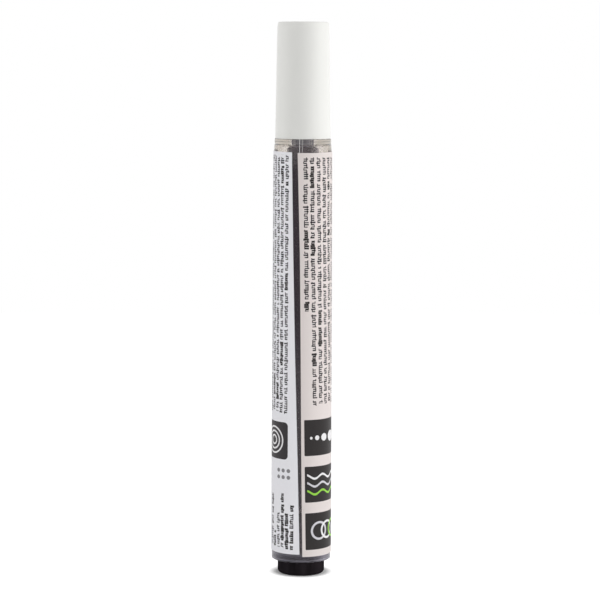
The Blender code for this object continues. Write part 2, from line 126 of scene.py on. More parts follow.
def deselect_all() -> None:
    """Leave object mode's selection empty, so that an operator acts on new work only."""
    if bpy.context.object and bpy.context.object.mode != "OBJECT":
        bpy.ops.object.mode_set(mode="OBJECT")
    bpy.ops.object.select_all(action="DESELECT")


def settle(name: str) -> Piece:
    """Name the object just added and settle its place in its mesh.

    Args:
        name: The new piece's name.

    Returns:
        The object.
    """
    piece = bpy.context.object
    piece.name = piece.data.name = name
    bpy.ops.object.transform_apply(location=True, rotation=True, scale=True)
    return piece


def edit_all() -> None:
    """Enter edit mode with everything selected."""
    bpy.ops.object.mode_set(mode="EDIT")
    bpy.ops.mesh.select_all(action="SELECT")


def select(piece: Piece, pick: Pick, wanted: Callable[[Vector], bool]) -> None:
    """Select the wanted elements of a piece in edit mode.

    Args:
        piece: The object in edit mode.
        pick: What to select.
        wanted: Test of a point, of both ends of an edge or of the middle of a face.
    """
    bpy.ops.mesh.select_mode(type=pick.value)
    bpy.ops.mesh.select_all(action="DESELECT")
    shape = bmesh.from_edit_mesh(piece.data)
    if pick is Pick.POINTS:
        for corner in shape.verts:
            corner.select_set(wanted(corner.co))
    elif pick is Pick.EDGES:
        for edge in shape.edges:
            edge.select_set(all(wanted(corner.co) for corner in edge.verts))
    else:
        for face in shape.faces:
            face.select_set(wanted(face.calc_center_median()))
    bmesh.update_edit_mesh(piece.data)


def finish_shape(piece: Piece) -> Piece:
    """Leave edit mode with faces outwards, smooth shading and flats kept flat.

    Args:
        piece: The object in edit mode.

    Returns:
        The same object.
    """
    bpy.ops.mesh.select_mode(type=Pick.POINTS.value)
    bpy.ops.mesh.select_all(action="SELECT")
    bpy.ops.mesh.normals_make_consistent(inside=False)
    bpy.ops.object.mode_set(mode="OBJECT")
    bpy.ops.object.shade_smooth_by_angle(angle=SMOOTH_ANGLE)
    flats = piece.modifiers.new("flats", "WEIGHTED_NORMAL")
    flats.keep_sharp = True
    bpy.ops.object.modifier_apply(modifier=flats.name)
    return piece


@dataclass(frozen=True)
class Lathe:
    """Turns outlines about the marker's axis, ring by ring.

    Attributes:
        steps: Corners of each ring.
        bevel_segments: Faces across a rounded corner.
    """

    steps: int = FINE_STEPS
    bevel_segments: int = 4

    def rough(self, name: str, outline: Sequence[Station], ends: Ends) -> Piece:
        """Extrude a ring through every station, close it and round its corners.

        Args:
            name: The new piece's name.
            outline: The rings, in order along the outline.
            ends: How the outline is closed.

        Returns:
            The new object, still in edit mode.
        """
        first, last = outline[0], outline[-1]
        deselect_all()
        bpy.ops.mesh.primitive_circle_add(
            vertices=self.steps, radius=first.radius, location=(0, 0, first.height)
        )
        piece = settle(name)
        edit_all()
        for before, after in zip(outline, outline[1:]):
            rise = (0, 0, after.height - before.height)
            growth = after.radius / before.radius
            bpy.ops.mesh.extrude_region_move(TRANSFORM_OT_translate={"value": rise})
            bpy.ops.transform.resize(value=(growth, growth, 1), center_override=(0, 0, after.height))
        if ends is Ends.JOINED:
            select(piece, Pick.EDGES, lambda p: first.meets(p) or last.meets(p))
            bpy.ops.mesh.bridge_edge_loops()
        else:
            for station in (first, last):
                select(piece, Pick.EDGES, station.meets)
                bpy.ops.mesh.edge_face_add()
        self.round_corners(piece, outline)
        return piece

    def round_corners(self, piece: Piece, outline: Sequence[Station]) -> None:
        """Bevel the rings that have a rounding.

        Args:
            piece: The object in edit mode.
            outline: Its stations.
        """
        for station in outline:
            if station.rounding:
                select(piece, Pick.EDGES, station.meets)
                bpy.ops.mesh.bevel(offset=station.rounding, segments=self.bevel_segments, affect="EDGES")

    def turn(self, name: str, outline: Sequence[Station], ends: Ends) -> Piece:
        """Make a turned piece that needs no further work after its rough shape."""
        return finish_shape(self.rough(name, outline, ends))


def along(values: Sequence[float], share: float) -> float:
    """Read a line through evenly spaced values.

    Args:
        values: The values from start to end.
        share: Where to read, from 0 to 1.

    Returns:
        The value there.
    """
    place = share * (len(values) - 1)
    step = min(int(place), len(values) - 2)
    return values[step] + (values[step + 1] - values[step]) * (place - step)


def sector(point: Vector, steps: int, count: int) -> bool:
    """Tell whether a point lies in one of a count of even sectors, one step of a turn wide."""
    place = math.floor(math.atan2(point.y, point.x) % math.tau / math.tau * steps)
    return place % (steps // count) == 0


def funnel(wide: Station, narrow: Station, rings: int) -> list[Station]:
    """Lay a wall that narrows fast at first and ends upright.

    Args:
        wide: The ring before its first one.
        narrow: Its last ring.
        rings: How many rings it has.

    Returns:
        The rings.
    """
    wall = []
    for ring in range(1, rings + 1):
        share = ring / rings
        radius = narrow.radius + (wide.radius - narrow.radius) * (1 - share) ** 2
        wall.append(Station(radius, wide.height + (narrow.height - wide.height) * share))
    return wall


class Wiring:
    """Builds one node material, socket by socket."""

    def __init__(self, name: str) -> None:
        """Start from a Principled surface.

        Args:
            name: The material's name.
        """
        self.material = bpy.data.materials.new(name)
        self.material.use_nodes = True
        self.tree = self.material.node_tree
        self.surface = self.tree.nodes["Principled BSDF"]
        self.output = self.tree.nodes["Material Output"]
        self.place: Socket = self.add("ShaderNodeTexCoord").outputs["Object"]

    def add(self, kind: str, **settings: object) -> bpy.types.Node:
        """Add a node and set its options.

        Args:
            kind: The node's type name.
            **settings: Properties to set on it.

        Returns:
            The new node.
        """
        node = self.tree.nodes.new(kind)
        for key, value in settings.items():
            setattr(node, key, value)
        return node

    def feed(self, socket: Socket, value: Value | Colour) -> None:
        """Link a socket to another, or set its value.

        Args:
            socket: The input to fill.
            value: An output socket, a number or a colour.
        """
        if isinstance(value, Socket):
            self.tree.links.new(value, socket)
        elif isinstance(value, tuple):
            socket.default_value = (*value, 1.0)
        else:
            socket.default_value = value

    def fix(self, **values: Value | Colour) -> None:
        """Fill sockets of the surface, named with underscores for spaces."""
        for key, value in values.items():
            self.feed(self.surface.inputs[key.replace("_", " ")], value)

    def math(self, operation: str, *values: Value) -> Socket:
        """Add a Math node.

        Args:
            operation: Its operation's name.
            *values: Its inputs.

        Returns:
            Its result.
        """
        node = self.add("ShaderNodeMath", operation=operation)
        for socket, value in zip(node.inputs, values):
            self.feed(socket, value)
        return node.outputs[0]

    def product(self, *values: Value) -> Socket:
        """Multiply any number of values.

        Args:
            *values: The factors, at least two.

        Returns:
            Their product.
        """
        result = values[0]
        for value in values[1:]:
            result = self.math("MULTIPLY", result, value)
        return result

    def spread(
        self, value: Socket, low: float, high: float, start: float = 0.0, end: float = 1.0
    ) -> Socket:
        """Map a range of a value onto another, and hold it beyond either end.

        Args:
            value: The value to map.
            low: Result at the start.
            high: Result at the end.
            start: Value that the range starts from.
            end: Value that it ends at.

        Returns:
            The mapped value.
        """
        node = self.add("ShaderNodeMapRange")
        self.feed(node.inputs["Value"], value)
        limits = {"From Min": start, "From Max": end, "To Min": low, "To Max": high}
        for name, limit in limits.items():
            node.inputs[name].default_value = limit
        return node.outputs["Result"]

    def blend(self, share: Value, first: Socket | Colour, second: Socket | Colour) -> Socket:
        """Mix two colours.

        Args:
            share: How much of the second shows.
            first: Colour at 0.
            second: Colour at 1.

        Returns:
            The mixed colour.
        """
        node = self.add("ShaderNodeMix", data_type="RGBA")
        self.feed(node.inputs[0], share)
        self.feed(node.inputs[6], first)
        self.feed(node.inputs[7], second)
        return node.outputs[2]

    def ramp(self, value: Socket, stops: Curve) -> Socket:
        """Read a value off straight lines between stops.

        Args:
            value: Where to read.
            stops: Places in rising order, and the level at each.

        Returns:
            The level there.
        """
        total: Value = stops[0][1]
        for (start, low), (end, high) in zip(stops, stops[1:]):
            total = self.math("ADD", total, self.spread(value, 0.0, high - low, start, end))
        return total

    def noise(self, size: float, detail: float = 2.0, stretch: float = 1.0) -> Socket:
        """Read noise on object coordinates.

        Args:
            size: Rough size of its features.
            detail: Octaves.
            stretch: How much longer its features are along the marker.

        Returns:
            The noise, about 0 to 1.
        """
        mapping = self.add("ShaderNodeMapping")
        self.feed(mapping.inputs["Vector"], self.place)
        mapping.inputs["Scale"].default_value = (1, 1, 1 / stretch)
        node = self.add("ShaderNodeTexNoise")
        self.feed(node.inputs["Vector"], mapping.outputs["Vector"])
        node.inputs["Scale"].default_value = 1 / size
        node.inputs["Detail"].default_value = detail
        return node.outputs["Fac"]

    def axes(self) -> bpy.types.Node:
        """Split the place into X, Y and Z.

        Returns:
            The node with the three outputs.
        """
        node = self.add("ShaderNodeSeparateXYZ")
        self.feed(node.inputs[0], self.place)
        return node

    def angle(self) -> Socket:
        """Give the angle round the marker in radians, from -Y towards +X."""
        axes = self.axes()
        return self.math("ARCTAN2", axes.outputs["X"], self.product(axes.outputs["Y"], -1.0))

    def relief(self, height: Socket, depth: float) -> None:
        """Roughen the surface with a bump.

        Args:
            height: Pattern of the relief.
            depth: Its full depth.
        """
        bump = self.add("ShaderNodeBump")
        bump.inputs["Distance"].default_value = depth
        self.feed(bump.inputs["Height"], height)
        self.fix(Normal=bump.outputs["Normal"])


@dataclass(frozen=True)
class MouldedPlastic:
    """Opaque moulded plastic with faint flow marks and a fine mould texture; where colour and shade lie
    far apart, as on the black foot, the marks become soft vertical streaks of painted reflection.

    Attributes:
        name: The material's name.
        colour: Its main colour.
        shade: The colour its flow marks fade to, which on the black foot is the dark between painted
            reflection streaks.
        roughness: Least and greatest roughness.
        grain: Depth of the mould texture.
        shine: Specular level.
        dust: Size of the dust specks on it, as a share of their spacing.
        streak_size: Width of the flow marks and painted streaks.
        streak_stretch: How much longer than wide they are.
        polish_size: Size of the duller and glossier patches.
        grain_size: Size of the mould texture's grains.
    """

    name: str
    colour: Colour
    shade: Colour
    roughness: tuple[float, float] = (0.32, 0.44)
    grain: float = 0.004 * MM
    shine: float = 0.5
    dust: float = 0.0
    streak_size: float = 3 * MM
    streak_stretch: float = 6.0
    polish_size: float = 0.8 * MM
    grain_size: float = 0.12 * MM

    def material(self) -> Material:
        """Wire the material up.

        Returns:
            The new material.
        """
        wiring = Wiring(self.name)
        # Flow marks; on the black foot these are painted reflection streaks.
        flow_marks_and_painted_streaks = wiring.noise(self.streak_size, detail=3, stretch=self.streak_stretch)
        colour = wiring.blend(flow_marks_and_painted_streaks, self.shade, self.colour)
        if self.dust:
            specks = wiring.add("ShaderNodeTexVoronoi")
            wiring.feed(specks.inputs["Vector"], wiring.place)
            specks.inputs["Scale"].default_value = 1 / DUST_SPACING
            mask = wiring.math("LESS_THAN", specks.outputs["Distance"], self.dust)
            colour = wiring.blend(mask, colour, DUST_COLOUR)
        roughness = wiring.spread(wiring.noise(self.polish_size), *self.roughness)
        wiring.fix(Base_Color=colour, Roughness=roughness, Specular_IOR_Level=self.shine)
        wiring.relief(wiring.noise(self.grain_size, detail=1), self.grain)
        return wiring.material


@dataclass(frozen=True)
class StripReflection:
    """One painted reflection of a strip light along a clear piece, drawn as a frosted line.

    Attributes:
        angle: Its place in degrees from -Y towards +X.
        half_width: Half its width in degrees.
        haze: Share of the light that it scatters at its middle.
    """

    angle: float
    half_width: float
    haze: float


# Haze by height: the bands at the rear rim are painted highlights, and the haze up the lower ink window
# lifts it as painted light.
BARREL_PAINTED_HAZE = (
    (4.0 * MM, 0.0),
    (4.2 * MM, 0.17),
    (4.45 * MM, 0.01),
    (5.0 * MM, 0.01),
    (5.3 * MM, 0.05),
    (5.8 * MM, 0.12),
    (6.4 * MM, 0.05),
    (44 * MM, 0.05),
    (62 * MM, 0.016),
    (106 * MM, 0.016),
    (107 * MM, 0.0),
)
# Haze of the dry rear rim by angle: a painted highlight, lighter towards both sides where lamp light
# scatters in the wall.
RIM_PAINTED_HIGHLIGHT = (
    (-60.0, 0.10),
    (-42.0, 0.03),
    (-30.0, 0.0),
    (24.0, 0.0),
    (36.0, 0.07),
    (50.0, 0.20),
    (64.0, 0.15),
)
# Painted reflections of two strip lights near the camera, drawn as frosted lines on the clear plastic.
PAINTED_STRIP_REFLECTIONS = (StripReflection(-6.7, 1.1, 0.8), StripReflection(-1.0, 1.0, 0.5))


@dataclass(frozen=True)
class ClearPlastic:
    """Clear moulded plastic that tints with depth and lets the lamps through to what is inside.

    Attributes:
        name: The material's name.
        clarity: Share of the light that passes without haze.
        gloss: Colour of its reflections where ink wets the wall from inside.
        painted_haze: Heights and the haze at each, in rising order; it paints highlight bands at the
            rear rim and lifts the lower ink window as painted light.
        dry_tint: Colour of the wall under the ink, or None where ink wets all of it.
        dry_level: Height under which the wall is dry.
        painted_rim_highlight: Angles in degrees and the haze of the dry wall at each, in rising order: a
            painted highlight that makes the rim lighter towards its sides, where lamp light scatters in.
        reflection_lines: Painted reflections of strip lights on its outside, drawn as frosted lines.
        haze_radius: Radius that haze and the painted reflection lines lie outside of.
        reflection_level: Height that the painted reflection lines lie above.
        tint: Colour of its surface.
        depth_tint: Colour that thick plastic turns to.
        density: How fast it turns, for each metre.
        refraction: Its refractive index.
        roughness: Least and greatest roughness.
        polish_size: Width of the duller and glossier patches.
        polish_stretch: How much longer than wide they are.
    """

    name: str
    clarity: float
    gloss: Colour
    painted_haze: Curve = ()
    dry_tint: Colour | None = None
    dry_level: float = 5.8 * MM
    painted_rim_highlight: Curve = RIM_PAINTED_HIGHLIGHT
    reflection_lines: tuple[StripReflection, ...] = PAINTED_STRIP_REFLECTIONS
    haze_radius: float = 6.6 * MM
    reflection_level: float = 106.4 * MM
    tint: Colour = (0.96, 0.95, 0.94)
    depth_tint: Colour = (0.705, 0.665, 0.61)
    density: float = 160.0
    refraction: float = 1.49
    roughness: tuple[float, float] = (0.0, 0.02)
    polish_size: float = 2 * MM
    polish_stretch: float = 4.0

    def material(self) -> Material:
        """Wire the material up.

        Returns:
            The new material.
        """
        wiring = Wiring(self.name)
        polish = wiring.noise(self.polish_size, detail=3, stretch=self.polish_stretch)
        wiring.fix(
            Base_Color=self.tint,
            Roughness=wiring.spread(polish, *self.roughness),
            IOR=self.refraction,
            Transmission_Weight=self.clarity,
            Specular_Tint=self.gloss,
        )
        wiring.fix(Transmission_Weight=self.clear_share(wiring))
        if self.dry_tint:
            dry = wiring.math("LESS_THAN", wiring.axes().outputs["Z"], self.dry_level)
            wiring.fix(
                Base_Color=wiring.blend(dry, self.tint, self.dry_tint),
                Specular_Tint=wiring.blend(dry, self.gloss, self.dry_tint),
            )
        depth = wiring.add("ShaderNodeVolumeAbsorption")
        wiring.feed(depth.inputs["Color"], self.depth_tint)
        wiring.feed(depth.inputs["Density"], self.density)
        wiring.feed(wiring.output.inputs["Volume"], depth.outputs[0])
        self.let_lamps_through(wiring)
        return wiring.material

    def let_lamps_through(self, wiring: Wiring) -> None:
        """Let rays from the lamps pass the surface with its tint.

        Args:
            wiring: The material being made.
        """
        passing = wiring.add("ShaderNodeBsdfTransparent")
        wiring.feed(passing.inputs["Color"], self.tint)
        choice = wiring.add("ShaderNodeMixShader")
        rays = wiring.add("ShaderNodeLightPath")
        wiring.feed(choice.inputs[0], rays.outputs["Is Shadow Ray"])
        wiring.feed(choice.inputs[1], wiring.surface.outputs[0])
        wiring.feed(choice.inputs[2], passing.outputs[0])
        wiring.feed(wiring.output.inputs["Surface"], choice.outputs[0])

    def clear_share(self, wiring: Wiring) -> Socket:
        """Give the share of the light that passes, less where haze, painted highlights and painted
        reflection lines lie on the outside.

        Args:
            wiring: The material being made.

        Returns:
            The share, from 0 to 1.
        """
        axes = wiring.axes()
        height = axes.outputs["Z"]
        flat = wiring.add("ShaderNodeCombineXYZ")
        for name in ("X", "Y"):
            wiring.feed(flat.inputs[name], axes.outputs[name])
        reach = wiring.add("ShaderNodeVectorMath", operation="LENGTH")
        wiring.feed(reach.inputs[0], flat.outputs[0])
        outside = wiring.math("GREATER_THAN", reach.outputs["Value"], self.haze_radius)
        share: Value = self.clarity
        # Painted highlights and painted light, drawn as haze by height.
        if self.painted_haze:
            haze = wiring.product(wiring.ramp(height, self.painted_haze), outside)
            share = wiring.math("SUBTRACT", share, haze)
        if self.dry_tint:
            dry = wiring.math("LESS_THAN", height, self.dry_level)
            # Painted highlight on the rim's sides, drawn as haze by angle.
            turned = wiring.math("DEGREES", wiring.angle())
            haze = wiring.product(wiring.ramp(turned, self.painted_rim_highlight), dry, outside)
            share = wiring.math("SUBTRACT", share, haze)
        # Painted reflections of strip lights, as frosted lines above the reflection level.
        reflecting = wiring.product(outside, wiring.math("GREATER_THAN", height, self.reflection_level))
        for reflection in self.reflection_lines:
            past = wiring.math("SUBTRACT", wiring.angle(), math.radians(reflection.angle))
            off = wiring.math("ABSOLUTE", past)
            near = wiring.math("DIVIDE", off, math.radians(reflection.half_width))
            line = wiring.math("MAXIMUM", wiring.math("SUBTRACT", 1.0, near), 0.0)
            share = wiring.math("SUBTRACT", share, wiring.product(line, reflecting, reflection.haze))
        return share


@dataclass(frozen=True)
class Fibre:
    """Fibres that run along the marker, soaked with ink or bound as felt.

    Attributes:
        name: The material's name.
        dark: Colour between the fibres.
        light: Colour on the fibres.
        thickness: Thickness of one fibre bundle.
        roughness: Least and greatest roughness.
        depth: Depth of the relief between the fibres.
        shine: Specular level.
        stain: Colour of the ink at the point, or None where ink shows nowhere.
        stain_levels: Heights where the stain starts and where it is full.
        stain_share: Share of the stain that shows on the fibres themselves.
        stretch: How much longer than thick a bundle is.
    """

    name: str
    dark: Colour
    light: Colour
    thickness: float
    roughness: tuple[float, float]
    depth: float
    shine: float = 0.5
    stain: Colour | None = None
    stain_levels: tuple[float, float] = (113 * MM, 126 * MM)
    stain_share: float = 0.85
    stretch: float = 12.0

    def material(self) -> Material:
        """Wire the material up.

        Returns:
            The new material.
        """
        wiring = Wiring(self.name)
        strands = wiring.noise(self.thickness, detail=3, stretch=self.stretch)
        colour = wiring.blend(strands, self.dark, self.light)
        if self.stain:
            start, full = self.stain_levels
            share = wiring.ramp(wiring.axes().outputs["Z"], ((start, 0.0), (full, 1.0)))
            share = wiring.product(share, wiring.spread(strands, 1.0, self.stain_share))
            colour = wiring.blend(share, colour, self.stain)
        roughness = wiring.spread(strands, *self.roughness)
        wiring.fix(Base_Color=colour, Roughness=roughness, Specular_IOR_Level=self.shine)
        wiring.relief(strands, self.depth)
        return wiring.material


@dataclass(frozen=True)
class SpringWire:
    """Drawn steel wire with fine marks along it.

    Attributes:
        name: The material's name.
        colour: Colour of the metal.
        roughness: Least and greatest roughness.
        mark_size: Size of the marks.
        mark_depth: Their depth.
    """

    name: str
    colour: Colour
    roughness: tuple[float, float] = (0.18, 0.35)
    mark_size: float = 0.15 * MM
    mark_depth: float = 0.004 * MM

    def material(self) -> Material:
        """Wire the material up.

        Returns:
            The new material.
        """
        wiring = Wiring(self.name)
        marks = wiring.noise(self.mark_size)
        roughness = wiring.spread(marks, *self.roughness)
        wiring.fix(Base_Color=self.colour, Metallic=1.0, Roughness=roughness)
        wiring.relief(marks, self.mark_depth)
        return wiring.material


@dataclass(frozen=True)
class MarkRows:
    """Rows of fine printed strokes, in millimetres on the sheet.

    Attributes:
        first: Middle of the first row, across the sheet.
        pitch: Distance from row to row.
        starts: Height that each row starts from.
        ends: Height that each row ends at.
        height: Height of a row from its deepest to its tallest stroke.
        stroke_pitch: Pitch of the strokes along the row.
        word_strokes: Mean number of strokes from one gap to the next.
        stroke_widths: Least width of a stroke as a share of the pitch, its spread, and what
            heavy words add.
        body: Share of the height that every stroke reaches to either side.
        reach: Shares of the height that tall and deep strokes add.
        reach_above: Draws above which a stroke is tall, and deep.
        tie: Share of the height that ties between strokes take.
        heavy_share: Share of the words that are heavy.
        seed: Picks another run of strokes.
        gap_seed: Added to the seed where the gaps between words are drawn.
        weight_seed: Added to it where the words' weights are drawn.
    """

    first: float
    pitch: float
    starts: tuple[float, ...]
    ends: tuple[float, ...]
    height: float = 1.35
    stroke_pitch: float = 0.54
    word_strokes: int = 8
    stroke_widths: tuple[float, float, float] = (0.44, 0.26, 0.28)
    body: float = 0.3
    reach: tuple[float, float] = (0.22, 0.2)
    reach_above: tuple[float, float] = (0.72, 0.86)
    tie: float = 0.09
    heavy_share: float = 0.12
    seed: float = 0.0
    gap_seed: float = 57.0
    weight_seed: float = 31.0


class Plate:
    """Prints flat marks on a label, placed in millimetres across and up the sheet."""

    def __init__(self, wiring: Wiring, paper: Socket, across: Socket, up: Socket) -> None:
        """Start from bare paper.

        Args:
            wiring: The material being made.
            paper: Colour of the bare paper.
            across: Distance round the barrel from the print's base line.
            up: Height above the foot.
        """
        self.wiring = wiring
        self.math = wiring.math
        self.colour = paper
        self.across = across
        self.up = up

    def ink(self, mask: Socket, colour: Colour, density: float = 1.0) -> None:
        """Print one colour where the mask is, hiding a share of what is there."""
        share = self.math("MULTIPLY", mask, density)
        self.colour = self.wiring.blend(share, self.colour, colour)

    def offset(self, across: float, up: float) -> tuple[Socket, Socket]:
        """Give the distances across and up from a point of the sheet."""
        return self.math("SUBTRACT", self.across, across), self.math("SUBTRACT", self.up, up)

    def distance(self, across: float, up: float) -> Socket:
        """Give the straight distance from a point of the sheet."""
        squares = (self.math("MULTIPLY", off, off) for off in self.offset(across, up))
        return self.math("SQRT", self.math("ADD", *squares))

    def dot(self, across: float, up: float, radius: float) -> Socket:
        """Mask a filled circle about a point."""
        return self.math("LESS_THAN", self.distance(across, up), radius)

    def ring(self, across: float, up: float, radius: float, width: float) -> Socket:
        """Mask a circular line about a point."""
        off = self.math("ABSOLUTE", self.math("SUBTRACT", self.distance(across, up), radius))
        return self.math("LESS_THAN", off, width / 2)

    def panel(self, low: tuple[float, float], high: tuple[float, float], corner: float) -> Socket:
        """Mask a rectangle with rounded corners.

        Args:
            low: Its least place across and up.
            high: Its greatest place across and up.
            corner: Radius of its corners.

        Returns:
            The mask.
        """
        middle = [(a + b) / 2 for a, b in zip(low, high)]
        squares = []
        for off, a, b in zip(self.offset(*middle), low, high):
            past = self.math("SUBTRACT", self.math("ABSOLUTE", off), (b - a) / 2 - corner)
            squares.append(self.math("POWER", self.math("MAXIMUM", past, 0.0), 2.0))
        return self.math("LESS_THAN", self.math("SQRT", self.math("ADD", *squares)), corner)

    def wave(self, up: float, swing: float, length: float, width: float) -> Socket:
        """Mask a wavy line that runs across the sheet.

        Args:
            up: Its mean height.
            swing: Its height to either side.
            length: Length of one wave.
            width: Width of the line.

        Returns:
            The mask.
        """
        phase = self.math("MULTIPLY", self.across, math.tau / length)
        level = self.math("MULTIPLY_ADD", self.math("SINE", phase), swing, up)
        off = self.math("ABSOLUTE", self.math("SUBTRACT", self.up, level))
        return self.math("LESS_THAN", off, width / 2)

    def between(self, value: Socket, low: Value, high: Value) -> Socket:
        """Mask where a value lies between two limits."""
        above = self.math("GREATER_THAN", value, low)
        return self.math("MULTIPLY", above, self.math("LESS_THAN", value, high))

    def chance(self, *keys: Value) -> tuple[Socket, Socket, Socket]:
        """Draw three even random numbers for each set of keys.

        Args:
            *keys: Up to three whole numbers that pick the draw.

        Returns:
            The three numbers, from 0 to 1.
        """
        wiring = self.wiring
        key = wiring.add("ShaderNodeCombineXYZ")
        for socket, value in zip(key.inputs, keys):
            wiring.feed(socket, value)
        draw = wiring.add("ShaderNodeTexWhiteNoise")
        wiring.feed(draw.inputs["Vector"], key.outputs[0])
        split = wiring.add("ShaderNodeSeparateColor")
        wiring.feed(split.inputs[0], draw.outputs["Color"])
        return tuple(split.outputs)

    def by_row(self, row: Socket, values: tuple[float, ...]) -> Value:
        """Look up the value that belongs to a row's number."""
        return self.wiring.ramp(row, tuple(enumerate(values))) if len(set(values)) > 1 else values[0]

    def strokes(self, rows: MarkRows, row: Socket, level: Socket, heavy: Socket) -> Socket:
        """Mask strokes of mixed height and the ties between them.

        Args:
            rows: Place and size of the rows.
            row: Number of the row.
            level: Height within the row, from its middle.
            heavy: 1 in the heavy words.

        Returns:
            The mask, with no gaps between words.
        """
        place = self.math("DIVIDE", self.up, rows.stroke_pitch)
        tall, deep, side = self.chance(row, self.math("FLOOR", place), rows.seed)
        body, (rise, drop) = rows.body * rows.height, rows.reach
        is_tall, is_deep = (
            self.math("GREATER_THAN", draw, limit) for draw, limit in zip((tall, deep), rows.reach_above)
        )
        top = self.math("MULTIPLY_ADD", is_tall, rise * rows.height, body)
        foot = self.math("MULTIPLY_ADD", is_deep, -drop * rows.height, -body)
        least, spread, extra = rows.stroke_widths
        width = self.math("MULTIPLY_ADD", heavy, extra, self.math("MULTIPLY_ADD", deep, spread, least))
        stem = self.math("LESS_THAN", self.math("FRACT", place), width)
        stem = self.math("MULTIPLY", stem, self.between(level, foot, top))
        edge = (1 - rows.tie) * body
        tie_level = self.math("MULTIPLY_ADD", self.math("GREATER_THAN", side, 0.5), -2 * edge, edge)
        off = self.math("ABSOLUTE", self.math("SUBTRACT", level, tie_level))
        return self.math("MAXIMUM", stem, self.math("LESS_THAN", off, rows.tie * rows.height))

    def ruled_marks(self, rows: MarkRows) -> tuple[Socket, Socket]:
        """Mask rows of fine strokes that stand for lines of small print and spell nothing.

        Args:
            rows: Place and size of the rows.

        Returns:
            Masks of all the strokes and of the heavy ones.
        """
        from_first = self.math("SUBTRACT", self.across, rows.first)
        row = self.math("ROUND", self.math("DIVIDE", from_first, rows.pitch))
        level = self.math("MULTIPLY_ADD", row, -rows.pitch, from_first)
        stroke = self.math("FLOOR", self.math("DIVIDE", self.up, rows.stroke_pitch))
        group = self.math("FLOOR", self.math("DIVIDE", stroke, rows.word_strokes))
        spot = self.math("MULTIPLY_ADD", group, -rows.word_strokes, stroke)
        draw, _, _ = self.chance(row, group, rows.seed + rows.gap_seed)
        gap = self.math("FLOOR", self.math("MULTIPLY", draw, rows.word_strokes))
        word = self.math("ADD", group, self.math("GREATER_THAN", spot, gap))
        weight, _, _ = self.chance(row, word, rows.seed + rows.weight_seed)
        heavy = self.math("GREATER_THAN", weight, 1 - rows.heavy_share)
        inked = self.wiring.product(
            self.strokes(rows, row, level, heavy),
            self.math("GREATER_THAN", self.math("ABSOLUTE", self.math("SUBTRACT", spot, gap)), 0.5),
            self.between(row, -0.5, len(rows.ends) - 0.5),
            self.between(self.up, self.by_row(row, rows.ends), self.by_row(row, rows.starts)),
        )
        return inked, self.math("MULTIPLY", inked, heavy)

    def set_rows(self, rows: MarkRows, plain: Colour, heavy: Colour) -> None:
        """Print rows of strokes.

        Args:
            rows: Place and size of the rows.
            plain: Ink of most strokes.
            heavy: Ink of the heavy ones.
        """
        light, bold = self.ruled_marks(rows)
        self.ink(light, plain)
        self.ink(bold, heavy)


@dataclass(frozen=True)
class LabelPaper:
    """Satin label paper with a print on it, and painted shade that darkens it from the ink window round
    the side.

    Attributes:
        name: The material's name.
        paper: Colour of the bare paper beside the ink window.
        shaded_paper: Its colour round the side, darker than beside the ink window: painted shade, with
            the paper by the window lighter as painted light.
        base_angle: Angle of the print's base line at the foot, in degrees from -Y towards +X.
        lean: Turn of that line for each millimetre of height, in degrees.
        side: 1 where the print runs on towards +X, and -1 towards -X.
        radius: Mean radius of the label, in millimetres.
        artwork: Prints the sheet.
        painted_shade: Distances from the print's base line and the share of the far colour at each,
            which paints shade round the side.
        mottle: Change of that share from speck to speck.
        mottle_size: Size of the specks.
        roughness: Least and greatest roughness.
        shine: Specular level.
        grain: Depth of the paper's grain.
        grain_size: Size of its grains.
    """

    name: str
    paper: Colour
    shaded_paper: Colour
    base_angle: float
    lean: float
    side: int
    radius: float
    artwork: Callable[[Plate], None]
    painted_shade: Curve = ((2.5, 0.0), (10.5, 1.0))
    mottle: float = 0.12
    mottle_size: float = 0.5 * MM
    roughness: tuple[float, float] = (0.42, 0.58)
    shine: float = 0.35
    grain: float = 0.003 * MM
    grain_size: float = 0.15 * MM

    def material(self) -> Material:
        """Wire the material up.

        Returns:
            The new material.
        """
        wiring = Wiring(self.name)
        up = wiring.math("DIVIDE", wiring.axes().outputs["Z"], MM)
        base = wiring.math("MULTIPLY_ADD", up, math.radians(self.lean), math.radians(self.base_angle))
        turned = wiring.math("SUBTRACT", wiring.angle(), base)
        across = wiring.math("MULTIPLY", turned, self.side * self.radius)
        specks = wiring.noise(self.mottle_size, detail=4)
        mottle = wiring.spread(specks, -self.mottle, self.mottle)
        # Painted shade: the paper darkens from beside the ink window round the side, plus random mottle.
        shade_and_mottle = wiring.math("ADD", wiring.ramp(across, self.painted_shade), mottle)
        plate = Plate(wiring, wiring.blend(shade_and_mottle, self.paper, self.shaded_paper), across, up)
        self.artwork(plate)
        roughness = wiring.spread(specks, *self.roughness)
        wiring.fix(Base_Color=plate.colour, Roughness=roughness, Specular_IOR_Level=self.shine)
        wiring.relief(wiring.noise(self.grain_size), self.grain)
        return wiring.material


INK_BLACK: Colour = (0.013, 0.010, 0.010)
INK_GREY: Colour = (0.018, 0.015, 0.017)
INK_PALE: Colour = (0.62, 0.61, 0.65)
INK_WHITE: Colour = (0.80, 0.79, 0.80)
INK_GREEN: Colour = (0.28, 0.62, 0.06)


